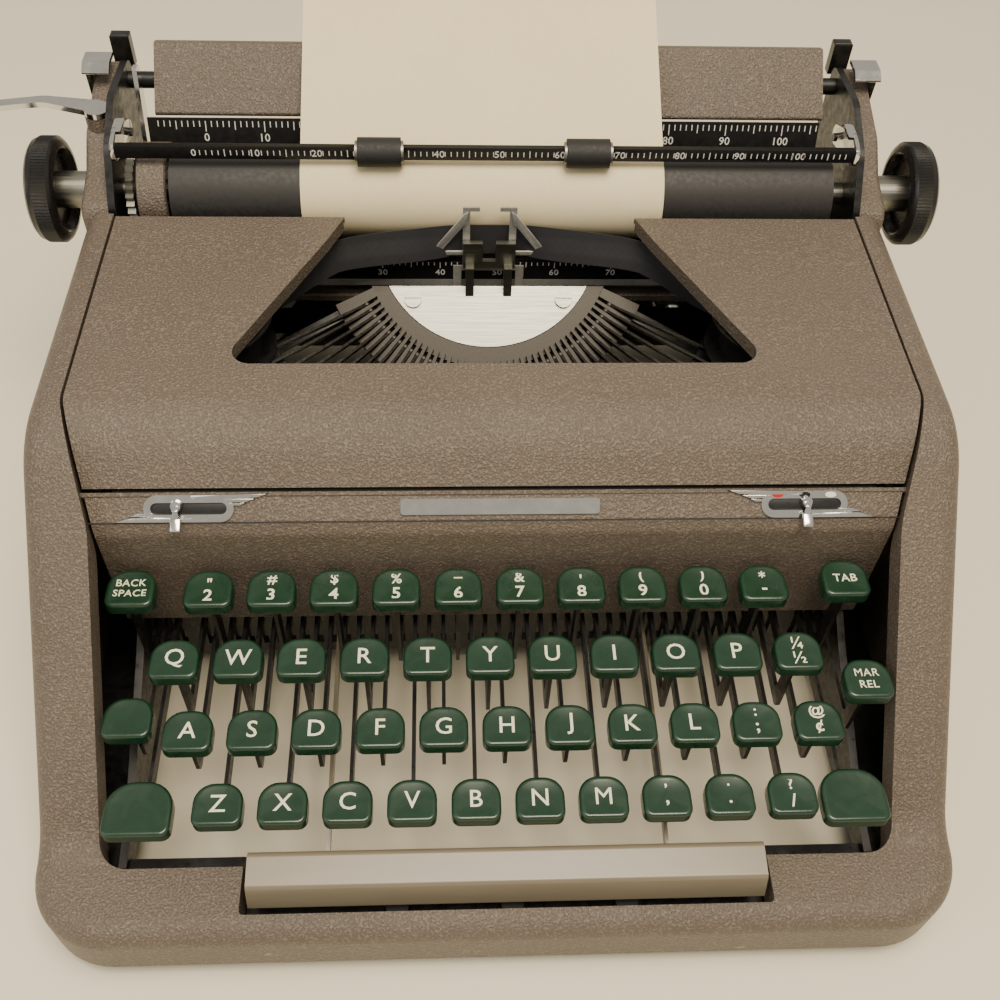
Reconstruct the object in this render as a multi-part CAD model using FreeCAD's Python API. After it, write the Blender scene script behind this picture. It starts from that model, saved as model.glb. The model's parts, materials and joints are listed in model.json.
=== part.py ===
import FreeCAD, Part
import math
import os

from FreeCAD import Vector

# A portable typewriter with a segment shift, in millimetres.
# Building axes: +X to the operator's right, +Y away from the operator, +Z up, and Z = 0 on the
# table. X = 0 is the printing point. Everything is moved at the end so that the origin is the
# middle of the underside.

# ---------------------------------------------------------------- driving dimensions

# Body shell
BODY_HALF_WIDTH = 141.0
SHEET = 2.5
SKIRT_BOTTOM = 8.0
FRONT_Y = 7.5
RAIL_TOP = 30.0
ARM_FOOT_Y = 35.5
ARM_TOP_Y = 124.5
ARM_TOP = 118.8
ARM_BACK_Y = 228.5
ARM_BACK_TOP = 117.0
DECK_TOP = 79.0
BACK_Y = 292.0
SIDE_ROUNDING = 7.0
FRONT_CORNER = 24.0
BACK_CORNER = 16.0
WELL_HALF_WIDTH = 121.5
WELL_FRONT_Y = 29.0
WELL_CORNER = 9.0
COVER_BAY_HALF_WIDTH = 131.0
LIP_DEPTH = 12.0
DECK_OPENING_HALF_WIDTH = 118.0
DECK_OPENING_Y = (236.0, 274.0)

# Ribbon cover and front panel
COVER_SHEET = 2.0
COVER_GAP = 1.0
COVER_FRONT_Y = 115.5
COVER_BACK_Y = 227.0
PIN_Y = 121.0
PIN_Z = 100.0
PIN_RADIUS = 2.0
RUNNING = 0.05
VIEW_FRONT_Y = 152.8
VIEW_HALF_WIDTH = 86.0
VIEW_WAIST_Y = 214.0
VIEW_WAIST = 56.5
VIEW_BACK = 49.0
PANEL_FACE_Y = 106.5
PANEL_BOTTOM = 47.0
# the sloping strip under the cover, as (Y, Z)
STRIP_TOP = (114.3, 102.4)
STRIP_BOTTOM = (108.3, 96.2)

# Inner frame
PLATE_INNER = 116.0
PLATE_OUTER = 118.5
FRAME_BOTTOM = 9.0
FLANGE = 2.0
FOOT_RADIUS = 9.0
FOOT_X = 128.0
FOOT_Y = (44.0, 262.0)
SHELF_TOP = 46.0
POST_Y = 256.0
POST_RADIUS = 2.0
DRUM_X = -92.0
ESCAPEMENT_X = 0.0
BELL_X = 80.0
SPOOL_X = 94.0
SPOOL_Y = 182.0
SPOOL_RADIUS = 21.0
RIBBON_Z = (98.5, 111.0)

# Keyboard
KEY_PITCH = 19.05
FIRST_KEY_X = -98.5
KEY_WIDTH = 14.8
KEY_DEPTH = 13.4
KEY_THICK = 4.5
LEVER_THICK = 1.2
LEVER_DEPTH = 5.0
LEVER_Z = 37.0
FULCRUM_Y = 215.0
FULCRUM_Z = 36.0
FULCRUM_RADIUS = 2.5
COMB_Y = (113.0, 116.0)
# row name: keys in the row, start offset in key pitches, key centre Y, key top Z
ROWS = {
    "number_row_keys": (10, 0.5, 97.8, 77.3),
    "upper_row_keys": (11, 0.0, 79.0, 67.6),
    "home_row_keys": (11, 0.25, 60.0, 58.0),
    "lower_row_keys": (10, 0.75, 41.0, 48.2),
}
STRUCK_KEY = 5
# function key: cap X, lever X, centre Y, top Z, width, depth
FUNCTION_KEYS = {
    "shift_left_key": (-107.3, -107.3, 40.2, 48.0, 20.0, 17.0),
    "shift_right_key": (106.0, 106.0, 40.2, 48.0, 20.0, 17.0),
    "shift_lock_key": (-112.4, -110.8, 65.2, 57.0, KEY_WIDTH, KEY_DEPTH),
    "backspace_key": (-112.6, -114.0, 98.5, 77.0, KEY_WIDTH, KEY_DEPTH),
    "tab_key": (108.2, 109.4, 98.5, 78.5, KEY_WIDTH, KEY_DEPTH),
    "margin_release_key": (112.4, 112.8, 70.0, 65.5, KEY_WIDTH, KEY_DEPTH),
}
SPACE_X = (-76.0, 79.0)
SPACE_Y = (17.2, 31.2)
SPACE_BOTTOM = 26.0
SPACE_TOP = 37.0
SPACE_ARMS = (-53.26, 51.52)
SPACE_STOPS = (-32.0, 3.0, 38.0)

# Type basket: a circle of type bars about an axis that leans back through the printing point
PRINT_Y = 230.2
PRINT_Z = 112.0
BASKET_TILT = 37.0
AXIS_DROP = 18.0
PIVOT_RADIUS = 52.0
PIVOT_RISE = 1.0
BAR_COUNT = 42
BAR_SPREAD = 120.0
BAR_THICK = 0.9
SLOT_WIDTH = 1.4
REST_ANGLE = 24.0
PLATE_RADIUS = 41.2
RING_RADIUS = 47.0
COMB_RADIUS = 62.0
CHORD = 18.5
STRUCK_BAR = 21
BASKET_BACK_Y = 228.2

# Carriage
PLATEN_Y = 249.0
PLATEN_Z = 112.0
PLATEN_RADIUS = 16.0
PLATEN_X = (-112.4, 123.6)
SHAFT_RADIUS = 4.0
KNOB_RADIUS = 18.7
KNOB_X = (152.0, 162.4)
KNOB_RECESS = 3.0
HUB_RADIUS = 6.5
RAIL_Y = (231.0, 236.0)
BACK_RAIL_Y = (275.0, 280.0)
RAIL_RISE = 7.0
BED_CLEARANCE = 0.3
END_PLATE_X = (131.0, 133.5)
END_COVER_X = 143.2
TIE_Y = 285.0
TIE_Z = 134.0
TIE_RADIUS = 3.0
BAIL_Y = 242.4
BAIL_Z = 133.0
BAIL_ROLLER_RADIUS = 5.0
BAIL_PIVOT_Y = 264.0
BAIL_PIVOT_Z = 126.0
BAIL_ARM_X = (129.0, 130.4)
BAIL_ROLLERS = (-38.6, 34.4)
PAPER_X = (-66.7, 62.2)
PAPER_THICK = 0.3
PAPER_LEAVES = 117.0
PAPER_LENGTH = 90.0
TABLE_X = (-120.0, 124.0)
RETURN_X = -138.3
RETURN_Y = 262.0
RETURN_PIN_RADIUS = 2.0
LEVER_HUB_TOP = 134.6
END_COVER_TOP = ((247.0, 121.5), (258.0, 130.0), (293.0, 139.5))
RELEASE_Y = 286.0
RELEASE_Z = 128.0
PAPER_RELEASE_Y = 270.0
PAPER_RELEASE_Z = 112.0

# ---------------------------------------------------------------- helpers


def box(x, y, z):
    """A box from three (low, high) pairs."""
    size = (x[1] - x[0], y[1] - y[0], z[1] - z[0])
    return Part.makeBox(*size, Vector(x[0], y[0], z[0]))


def cyl_x(radius, x, y, z):
    return Part.makeCylinder(radius, x[1] - x[0], Vector(x[0], y, z), Vector(1, 0, 0))


def cyl_z(radius, x, y, z):
    return Part.makeCylinder(radius, z[1] - z[0], Vector(x, y, z[0]), Vector(0, 0, 1))


def outline(corners, place):
    """A closed wire of lines through (a, b, radius) corners, each rounded where it has a radius."""
    ends = []
    for i, (a, b, radius) in enumerate(corners):
        here = place(a, b)
        back = (place(*corners[i - 1][:2]) - here).normalize()
        ahead = (place(*corners[(i + 1) % len(corners)][:2]) - here).normalize()
        if radius <= 0:
            ends.append((here, here, None))
            continue
        half = back.getAngle(ahead) / 2
        reach = radius / math.tan(half)
        middle = here + (back + ahead).normalize() * (radius / math.sin(half) - radius)
        ends.append((here + back * reach, here + ahead * reach, middle))
    edges = []
    for i, (start, stop, middle) in enumerate(ends):
        if middle is not None:
            edges.append(Part.Arc(start, middle, stop).toShape())
        following = ends[(i + 1) % len(ends)][0]
        if (following - stop).Length > 1e-6:
            edges.append(Part.makeLine(stop, following))
    return Part.Wire(edges)


def with_radius(corners):
    """Corners given as (a, b) or (a, b, radius), all as (a, b, radius)."""
    return [(*c, 0)[:3] for c in corners]


def side_plate(corners, x):
    """A (Y, Z) outline extruded along X from x[0] to x[1]."""
    wire = outline(with_radius(corners), lambda a, b: Vector(x[0], a, b))
    return Part.Face(wire).extrude(Vector(x[1] - x[0], 0, 0))


def plan_face(corners, z=0.0):
    """An (X, Y) outline as a flat face at height z."""
    return Part.Face(outline(with_radius(corners), lambda a, b: Vector(a, b, z)))


def plan_plate(corners, z):
    """An (X, Y) outline extruded from z[0] to z[1]."""
    return plan_face(corners, z[0]).extrude(Vector(0, 0, z[1] - z[0]))


def join(shapes):
    """Every shape fused into one, with its split faces merged."""
    whole = shapes[0]
    if len(shapes) > 1:
        whole = whole.multiFuse(shapes[1:])
    return whole.removeSplitter()


def mirrored(shape):
    """A copy on the other side of X = 0."""
    return shape.mirror(Vector(0, 0, 0), Vector(1, 0, 0))


def group(shapes):
    """Separate solids kept together in one part."""
    return Part.makeCompound([solid for shape in shapes for solid in shape.Solids])


def moved(shape, x=0.0, y=0.0, z=0.0):
    copy = shape.copy()
    copy.translate(Vector(x, y, z))
    return copy


# ---------------------------------------------------------------- body shell, cover and panel


def body_block(inset):
    """The body's outer form, or the same form drawn in by inset on every side."""
    half = BODY_HALF_WIDTH - inset
    front = FRONT_Y + inset
    back = BACK_Y - inset
    lean = inset * math.tan(math.radians(22.5))
    side = [
        (front, SKIRT_BOTTOM),
        (front, RAIL_TOP - inset),
        (ARM_FOOT_Y + lean, RAIL_TOP - inset, 16.0 + inset),
        (ARM_TOP_Y + lean, ARM_TOP - inset, 30.0 - inset),
        (ARM_BACK_Y - inset, ARM_BACK_TOP - inset),
        (ARM_BACK_Y - inset, DECK_TOP - inset),
        (back, DECK_TOP - inset),
        (back, SKIRT_BOTTOM),
    ]
    front_corner = FRONT_CORNER - inset
    back_corner = BACK_CORNER - inset
    plan = [
        (-half, front, front_corner),
        (half, front, front_corner),
        (half, back, back_corner),
        (-half, back, back_corner),
    ]
    block = side_plate(side, (-half, half))
    block = block.common(plan_plate(plan, (0, 200))).removeSplitter().Solids[0]
    rounded = []
    for edge in block.Edges:
        bounds = edge.BoundBox
        middle = edge.CenterOfMass
        upright = bounds.XLength < 0.1 and bounds.YLength < 0.1
        if bounds.ZMin < SKIRT_BOTTOM + 4 or upright or middle.y > ARM_BACK_Y - 2.6:
            continue
        on_side = abs(abs(middle.x) - half) < 0.3 and bounds.XLength < 0.1
        on_corner = abs(middle.x) > half - front_corner and bounds.XLength > 1 and middle.y < 40
        on_front = bounds.YMax < front + 0.1
        if on_side or on_corner or on_front:
            rounded.append(edge)
    return block.makeFillet(SIDE_ROUNDING - inset, rounded)


def turned_edge(block, opening, depth, thick):
    """A wall thick wide round an opening's outline, hanging depth below the block's surface."""
    ring = opening.makeOffset2D(thick).cut(opening)
    wall = ring.extrude(Vector(0, 0, 200))
    return wall.common(block.cut(moved(block, z=-depth)))


def well_opening():
    """The opening for the keys, with the cover bay behind it and the space bar's notch."""
    half = WELL_HALF_WIDTH
    bay = COVER_BAY_HALF_WIDTH
    well = plan_face([
        (-half, WELL_FRONT_Y, WELL_CORNER),
        (half, WELL_FRONT_Y, WELL_CORNER),
        (half, 104.0, 20.0),
        (bay, 138.0, 20.0),
        (bay, ARM_BACK_Y + 1.0),
        (-bay, ARM_BACK_Y + 1.0),
        (-bay, 138.0, 20.0),
        (-half, 104.0, 20.0),
    ])
    side_gap = 2.0
    notch = plan_face([
        (SPACE_X[0] - side_gap, SPACE_Y[0] - 2.7, 1.5),
        (SPACE_X[1] + side_gap, SPACE_Y[0] - 2.7, 1.5),
        (SPACE_X[1] + side_gap, WELL_FRONT_Y + 2.0),
        (SPACE_X[0] - side_gap, WELL_FRONT_Y + 2.0),
    ])
    return well.fuse(notch).removeSplitter().Faces[0]


def cover_surface(drop):
    """The (Y, Z) corners of the cover's outer line, or of a line drop below it."""
    lean = drop * 0.55
    return [
        (COVER_FRONT_Y + lean, 103.6 - drop * 0.3),
        (128.0 + lean * 0.6, ARM_TOP + 0.2 - drop, 22.0 - drop),
        (COVER_BACK_Y, ARM_BACK_TOP - drop),
    ]


def cover_inner_height(y):
    """Height of the cover's underside along its flat top."""
    front, back = cover_surface(COVER_SHEET)[1:]
    share = (y - front[0]) / (back[0] - front[0])
    return front[1] + share * (back[1] - front[1])


def bay_face(gap):
    """The well and bay outline drawn in by gap."""
    half = WELL_HALF_WIDTH - gap
    bay = COVER_BAY_HALF_WIDTH - gap
    return plan_face([
        (-half, 60.0),
        (half, 60.0),
        (half, 104.0, 20.0),
        (bay, 138.0, 20.0),
        (bay, ARM_BACK_Y),
        (-bay, ARM_BACK_Y),
        (-bay, 138.0, 20.0),
        (-half, 104.0, 20.0),
    ])


def build_body_shell():
    outer = body_block(0.0)
    shell = outer.cut(body_block(SHEET))
    opening = well_opening()
    lip = turned_edge(outer, opening, LIP_DEPTH, 2.0)
    lip = lip.cut(box((-200, 200), (ARM_BACK_Y - 2.2, 300), (0, 200)))
    shell = shell.fuse(lip)
    shell = shell.cut(opening.extrude(Vector(0, 0, 200)))
    half = DECK_OPENING_HALF_WIDTH
    shell = shell.cut(box((-half, half), DECK_OPENING_Y, (60, 100)))
    return shell.removeSplitter()


def build_ribbon_cover():
    front, bend, back = cover_surface(0.0)
    under = cover_surface(COVER_SHEET)
    wide = (-200.0, 200.0)
    base_y = (front[0], back[0])
    solid = side_plate([(base_y[0], 60), front, bend, back, (base_y[1], 60)], wide)
    sheet = side_plate([front, bend, back, under[2], under[1], under[0]], wide)
    waist = (VIEW_WAIST, VIEW_WAIST_Y)
    view = plan_face([
        (-VIEW_HALF_WIDTH, VIEW_FRONT_Y, 6.0),
        (VIEW_HALF_WIDTH, VIEW_FRONT_Y, 6.0),
        (waist[0], waist[1], 4.0),
        (VIEW_BACK, COVER_BACK_Y + 5.0),
        (-VIEW_BACK, COVER_BACK_Y + 5.0),
        (-waist[0], waist[1], 4.0),
    ])
    flange = turned_edge(solid, view, 5.0, 1.6)
    flange = flange.cut(box((-200, 200), (0, VIEW_FRONT_Y + 3.0), (0, 200)))
    flange = flange.cut(box((-200, 200), (COVER_BACK_Y - 1.0, 300), (0, 200)))
    cover = join([sheet.common(bay_face(COVER_GAP).extrude(Vector(0, 0, 200))), flange])
    cover = cover.cut(view.extrude(Vector(0, 0, 200)))
    ear = side_plate([
        (PIN_Y - 4.0, PIN_Z - 3.5, 3.0),
        (PIN_Y + 4.0, PIN_Z - 3.5, 3.0),
        (PIN_Y + 10.0, 117.6),
        (PIN_Y + 1.0, 110.4),
        (PIN_Y - 2.5, 105.0),
    ], (PLATE_OUTER + 0.7, PLATE_OUTER + 2.7))
    pin = cyl_x(PIN_RADIUS, (PLATE_INNER - 0.8, PLATE_OUTER + 2.0), PIN_Y, PIN_Z)
    ears = [ear, pin, mirrored(ear), mirrored(pin)]
    return join([cover, *ears])


def build_front_panel():
    back = PANEL_FACE_Y + COVER_SHEET
    sheet = side_plate([
        STRIP_TOP,
        (*STRIP_BOTTOM, 4.0),
        (PANEL_FACE_Y, 92.0, 6.0),
        (PANEL_FACE_Y, PANEL_BOTTOM, 0.8),
        (back, PANEL_BOTTOM, 0.8),
        (back, 91.2, 4.0),
        (110.0, 94.8, 2.0),
        (114.6, 99.6),
    ], (-200.0, 200.0))
    return sheet.common(bay_face(COVER_GAP).extrude(Vector(0, 0, 200)))


def strip_plate(corners, thick):
    """An outline drawn on the nameplate strip's slanting face, thick above it."""
    along = Vector(0, STRIP_TOP[0] - STRIP_BOTTOM[0], STRIP_TOP[1] - STRIP_BOTTOM[1]).normalize()
    out = Vector(0, -along.z, along.y)
    foot = Vector(0, (STRIP_TOP[0] + STRIP_BOTTOM[0]) / 2, (STRIP_TOP[1] + STRIP_BOTTOM[1]) / 2)
    wire = outline(with_radius(corners), lambda a, b: Vector(a, 0, 0) + foot + along * b)
    return Part.Face(wire).extrude(out * thick)


def build_slot_plates():
    """The winged plates round the two slots, one each side of the strip."""
    left = strip_plate([
        (-113.0, -3.6, 1.0), (-72.0, -3.6, 2.0), (-68.0, 3.6, 0.6), (-80.0, 3.0, 3.0),
        (-104.0, 3.6, 3.0),
    ], 0.8)
    slot = strip_plate([(-103.0, -1.7, 1.5), (-78.0, -1.7, 1.5), (-78.0, 1.7, 1.5),
                        (-103.0, 1.7, 1.5)], 0.8)
    left = left.cut(slot)
    return group([left, mirrored(left)])


def build_slot_lever(x):
    """A tongue that slides along a slot, with a bent finger piece."""
    tongue = strip_plate([(x - 3.0, -1.2, 0.8), (x + 3.0, -1.2, 0.8), (x + 3.0, 1.2, 0.8),
                          (x - 3.0, 1.2, 0.8)], 3.0)
    finger = strip_plate([(x - 1.6, -6.0, 1.4), (x + 1.6, -6.0, 1.4), (x + 1.6, 1.2),
                          (x - 1.6, 1.2)], 3.0)
    below = strip_plate([(x - 8, -8), (x + 8, -8), (x + 8, 8), (x - 8, 8)], 1.4)
    finger = finger.cut(below)
    return join([tongue, finger])


def build_trim_bar():
    bar = strip_plate([(-30.0, -2.4, 1.0), (30.0, -2.4, 1.0), (30.0, 2.4, 1.0),
                       (-30.0, 2.4, 1.0)], 0.8)
    return bar


# ---------------------------------------------------------------- frame


def build_inner_frame():
    rear_y = (190.0, 219.0)
    side = side_plate([
        (34.0, FRAME_BOTTOM),
        (284.0, FRAME_BOTTOM),
        (284.0, DECK_TOP - SHEET),
        (224.0, DECK_TOP - SHEET),
        (rear_y[1], 90.0, 4.0),
        (rear_y[1], cover_inner_height(rear_y[1])),
        (rear_y[0], cover_inner_height(rear_y[0])),
        (184.0, 100.0, 6.0),
        (130.0, 105.0, 6.0),
        (PIN_Y - 3.5, 104.5, 3.0),
        (PIN_Y - 4.0, 100.5),
        (PANEL_FACE_Y + COVER_SHEET + 2.5, 94.0),
        (PANEL_FACE_Y + COVER_SHEET, 90.0),
        (PANEL_FACE_Y + COVER_SHEET, PANEL_BOTTOM - 1.0, 2.0),
        (98.0, 40.0, 10.0),
        (50.0, 20.0, 10.0),
        (34.0, 18.0),
    ], (PLATE_INNER, PLATE_OUTER))
    side = side.cut(cyl_x(PIN_RADIUS + RUNNING, (100, 130), PIN_Y, PIN_Z))
    window = side_plate([
        (132.0, 50.0, 8.0), (200.0, 50.0, 8.0), (200.0, 82.0, 8.0), (132.0, 82.0, 8.0),
    ], (100.0, 130.0))
    side = side.cut(window)
    wall = BODY_HALF_WIDTH - SHEET
    flange = box((PLATE_OUTER - 0.5, wall), (36.0, 272.0), (FRAME_BOTTOM, FRAME_BOTTOM + FLANGE))
    bracket = plan_plate([
        (PLATE_INNER + 0.5, SPOOL_Y - 12.0),
        (SPOOL_X - 6.0, SPOOL_Y - 6.0, 4.0),
        (SPOOL_X - 6.0, SPOOL_Y + 6.0, 4.0),
        (PLATE_INNER + 0.5, SPOOL_Y + 12.0),
    ], (RIBBON_Z[0] - 5.5, RIBBON_Z[0] - 3.5))
    post = cyl_z(2.0, SPOOL_X, SPOOL_Y, (RIBBON_Z[0] - 4.0, RIBBON_Z[1] + 1.8))
    pieces = [side, flange, bracket, post]
    pieces += [mirrored(piece) for piece in pieces]
    across = (-PLATE_INNER - 0.5, PLATE_INNER + 0.5)
    pieces.append(box((-PLATE_OUTER, PLATE_OUTER), (17.0, 38.0), (12.0, 15.0)))
    pieces.append(box(across, (150.0, 160.0), (FRAME_BOTTOM, FRAME_BOTTOM + 3.0)))
    pieces.append(box(across, (276.0, 284.0), (FRAME_BOTTOM, 26.0)))
    pieces.append(box(across, (240.0, 272.0), (SHELF_TOP - 2.0, SHELF_TOP)))
    for x in (DRUM_X, ESCAPEMENT_X, BELL_X):
        pieces.append(cyl_z(POST_RADIUS, x, POST_Y, (SHELF_TOP - 1.0, SHELF_TOP + 20.0)))
    return join(pieces)


def build_feet():
    foot = cyl_z(FOOT_RADIUS, 0, 0, (0.0, FRAME_BOTTOM))
    rim = [edge for edge in foot.Edges if abs(edge.BoundBox.ZMax) < 0.01]
    foot = foot.makeChamfer(1.0, rim)
    return group([moved(foot, x, y) for x in (-FOOT_X, FOOT_X) for y in FOOT_Y])


def build_foot_screws():
    top = FRAME_BOTTOM + FLANGE
    heads = [cyl_z(4.0, x, y, (top, top + 2.2)) for x in (-FOOT_X, FOOT_X) for y in FOOT_Y]
    slots = [box((x - 5, x + 5), (y - 0.5, y + 0.5), (top + 1.2, top + 3.0))
             for x in (-FOOT_X, FOOT_X) for y in FOOT_Y]
    return group([head.cut(slot) for head, slot in zip(heads, slots)])


def build_space_stops():
    return group([cyl_z(3.4, x, SPACE_Y[0] + 2.0, (15.0, SPACE_BOTTOM - 5.4))
                  for x in SPACE_STOPS])


def lever_positions():
    """X of every lever that passes through the comb."""
    places = []
    for count, offset, _, _ in ROWS.values():
        places += [FIRST_KEY_X + (offset + i) * KEY_PITCH for i in range(count)]
    places += [key[1] for key in FUNCTION_KEYS.values()]
    places += list(SPACE_ARMS)
    return places


def build_lever_comb():
    plate = box((-PLATE_INNER, PLATE_INNER), COMB_Y, (16.0, 46.0))
    slots = [box((x - 0.95, x + 0.95), (COMB_Y[0] - 1, COMB_Y[1] + 1), (21.0, 41.0))
             for x in lever_positions()]
    return plate.cut(Part.makeCompound(slots))


def build_fulcrum_rod():
    return cyl_x(FULCRUM_RADIUS, (-PLATE_INNER, PLATE_INNER), FULCRUM_Y, FULCRUM_Z)


def build_carriage_rails():
    top = DECK_TOP + RAIL_RISE
    rails = [box((-126.0, 126.0), y, (DECK_TOP, top)) for y in (RAIL_Y, BACK_RAIL_Y)]
    return group(rails)


def build_wheel(x, radius, teeth, z):
    """A toothed wheel on a post of the rear shelf."""
    wheel = cyl_z(radius, x, POST_Y, z)
    bite = radius * 0.16
    for i in range(teeth):
        angle = 2 * math.pi * i / teeth
        place = (x + radius * math.cos(angle), POST_Y + radius * math.sin(angle))
        wheel = wheel.cut(cyl_z(bite, *place, (z[0] - 1, z[1] + 1)))
    return wheel.cut(cyl_z(POST_RADIUS + RUNNING, x, POST_Y, (z[0] - 1, z[1] + 1)))


def build_bell():
    dome = Part.makeSphere(15.0, Vector(BELL_X, POST_Y, SHELF_TOP + 4.0))
    dome = dome.cut(Part.makeSphere(13.6, Vector(BELL_X, POST_Y, SHELF_TOP + 4.0)))
    dome = dome.common(box((60, 100), (236, 276), (SHELF_TOP + 4.0, 100.0)))
    return dome.cut(cyl_z(POST_RADIUS + RUNNING, BELL_X, POST_Y, (SHELF_TOP, 100.0)))


# ---------------------------------------------------------------- keyboard


def key_cap(width, depth):
    """A key cap with a straight front edge and a rounded back, its top at Z = 0."""
    half = width / 2
    front = -depth / 2
    back = depth / 2
    cap = plan_plate([
        (-half, front, 2.6), (half, front, 2.6), (half, back, half * 0.82),
        (-half, back, half * 0.82),
    ], (-KEY_THICK, 0.0))
    rim = [edge for edge in cap.Edges if edge.BoundBox.ZMin > -0.01]
    return cap.makeFillet(0.9, rim)


def key_lever(x, y, top):
    """A flat lever from the fulcrum rod to a stem that carries a cap at height top."""
    side = (x - LEVER_THICK / 2, x + LEVER_THICK / 2)
    low = LEVER_Z - LEVER_DEPTH / 2
    high = LEVER_Z + LEVER_DEPTH / 2
    bar = side_plate([
        (FULCRUM_Y, low),
        (FULCRUM_Y, high),
        (y + 2.4, high, 2.0),
        (y + 2.4, top - KEY_THICK),
        (y - 2.4, top - KEY_THICK),
        (y - 2.4, low, 3.0),
    ], side)
    hub = cyl_x(4.6, side, FULCRUM_Y, FULCRUM_Z)
    bore = cyl_x(FULCRUM_RADIUS + RUNNING, (x - 5, x + 5), FULCRUM_Y, FULCRUM_Z)
    return join([bar, hub]).cut(bore)


def build_row(name):
    """The caps and levers of one row, without the key that drives the struck type bar."""
    count, offset, y, top = ROWS[name]
    cap = key_cap(KEY_WIDTH, KEY_DEPTH)
    solids = []
    for i in range(count):
        if name == "home_row_keys" and i == STRUCK_KEY:
            continue
        x = FIRST_KEY_X + (offset + i) * KEY_PITCH
        solids += [moved(cap, x, y, top), key_lever(x, y, top)]
    return group(solids)


def build_struck_key():
    _, offset, y, top = ROWS["home_row_keys"]
    x = FIRST_KEY_X + (offset + STRUCK_KEY) * KEY_PITCH
    return group([moved(key_cap(KEY_WIDTH, KEY_DEPTH), x, y, top), key_lever(x, y, top)])


def build_function_key(name):
    cap_x, lever_x, y, top, width, depth = FUNCTION_KEYS[name]
    return group([moved(key_cap(width, depth), cap_x, y, top), key_lever(lever_x, y, top)])


def build_space_bar():
    bar = side_plate([
        (SPACE_Y[0], SPACE_BOTTOM, 0.8),
        (SPACE_Y[0] + 3.2, SPACE_TOP - 1.8, 1.6),
        (SPACE_Y[1], SPACE_TOP, 1.8),
        (SPACE_Y[1], SPACE_BOTTOM, 0.8),
    ], SPACE_X)
    solids = [bar]
    for x in SPACE_ARMS:
        side = (x - LEVER_THICK / 2, x + LEVER_THICK / 2)
        arm = side_plate([
            (SPACE_Y[0] + 4.5, SPACE_BOTTOM),
            (SPACE_Y[1] + 1.0, SPACE_BOTTOM, 3.0),
            (54.0, 30.5, 10.0),
            (FULCRUM_Y, 38.5),
            (FULCRUM_Y, 33.5),
            (54.0, 25.5, 10.0),
            (SPACE_Y[0] + 4.5, SPACE_BOTTOM - 3.5, 1.0),
        ], side)
        hub = cyl_x(4.6, side, FULCRUM_Y, FULCRUM_Z)
        bore = cyl_x(FULCRUM_RADIUS + RUNNING, (x - 5, x + 5), FULCRUM_Y, FULCRUM_Z)
        solids.append(join([arm, hub]).cut(bore))
    return group(solids)


# ---------------------------------------------------------------- type basket

TILT = math.radians(BASKET_TILT)
OUTWARD = Vector(0, -math.cos(TILT), -math.sin(TILT))
AXIS = Vector(0, -math.sin(TILT), math.cos(TILT))
CENTRE = Vector(0, PRINT_Y, PRINT_Z) - AXIS * AXIS_DROP
STRIKE_RISE = AXIS_DROP - PIVOT_RISE
BAR_LENGTH = math.hypot(PIVOT_RADIUS, STRIKE_RISE)
STRIKE_ANGLE = 180.0 - math.degrees(math.atan2(STRIKE_RISE, PIVOT_RADIUS))
SWING = STRIKE_ANGLE - REST_ANGLE
BAR_PITCH = BAR_SPREAD / (BAR_COUNT - 1)


def in_basket(u, w):
    """A point u outward from the basket's axis and w along it, in the middle plane."""
    return CENTRE + OUTWARD * u + AXIS * w


def basket_plate(corners, w):
    """An outline in the basket's plane, as (X, outward), extruded along the axis."""
    wire = outline(with_radius(corners), lambda a, b: Vector(a, 0, 0) + in_basket(b, w[0]))
    return Part.Face(wire).extrude(AXIS * (w[1] - w[0]))


def basket_disc(radius, w):
    return Part.makeCylinder(radius, w[1] - w[0], in_basket(0, w[0]), AXIS)


def basket_sector(inner, outer, w, spread, chord=0.0):
    """A ring sector about the basket's axis, spread degrees each side, cut off at a chord."""
    ring = basket_disc(outer, w)
    if inner:
        ring = ring.cut(basket_disc(inner, (w[0] - 1, w[1] + 1)))
    half = math.radians(spread)
    far = 3 * outer
    wedge = basket_plate([
        (0.0, 0.0),
        (far * math.sin(half), far * math.cos(half)),
        (far * math.sin(half), 2 * far),
        (-far * math.sin(half), 2 * far),
        (-far * math.sin(half), far * math.cos(half)),
    ], (w[0] - 2, w[1] + 2))
    ring = ring.common(wedge)
    if chord:
        keep = basket_plate([(-far, chord), (far, chord), (far, far), (-far, far)],
                            (w[0] - 2, w[1] + 2))
        ring = ring.common(keep)
    return ring


def bar_angle(index):
    return (index - (BAR_COUNT - 1) / 2) * BAR_PITCH


def type_bar(index):
    """One bar with its type block, at rest, turned to its own place in the basket."""
    half = Vector(BAR_THICK / 2, 0, 0)
    pivot = in_basket(PIVOT_RADIUS, PIVOT_RISE)
    back = Vector(0, 1, 0)
    up = Vector(0, 0, 1)
    tip = Vector(0, PRINT_Y, PRINT_Z) - back * 2.0
    along = (tip - pivot).normalize()
    across = Vector(0, -along.z, along.y)
    points = [pivot + across * 2.0, tip + across * 1.2, tip - across * 1.2, pivot - across * 2.0]
    wire = Part.makePolygon([p - half for p in [*points, points[0]]])
    bar = Part.Face(wire).extrude(half * 2)
    hub = Part.makeCylinder(2.4, BAR_THICK, pivot - half, Vector(1, 0, 0))
    corner = Vector(-1.4, 0, 0) + tip - back * 1.4 - up * 3.6
    block = Part.makeBox(2.8, 3.4, 9.0, corner)
    bar = join([bar, hub, block])
    bar.rotate(pivot, Vector(-1, 0, 0), -SWING)
    bar.rotate(CENTRE, AXIS, bar_angle(index))
    return bar


def build_typebars():
    return group([type_bar(i) for i in range(BAR_COUNT) if i != STRUCK_BAR])


def behind_limit():
    return box((-200, 200), (0, BASKET_BACK_Y), (0, 200))


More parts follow.
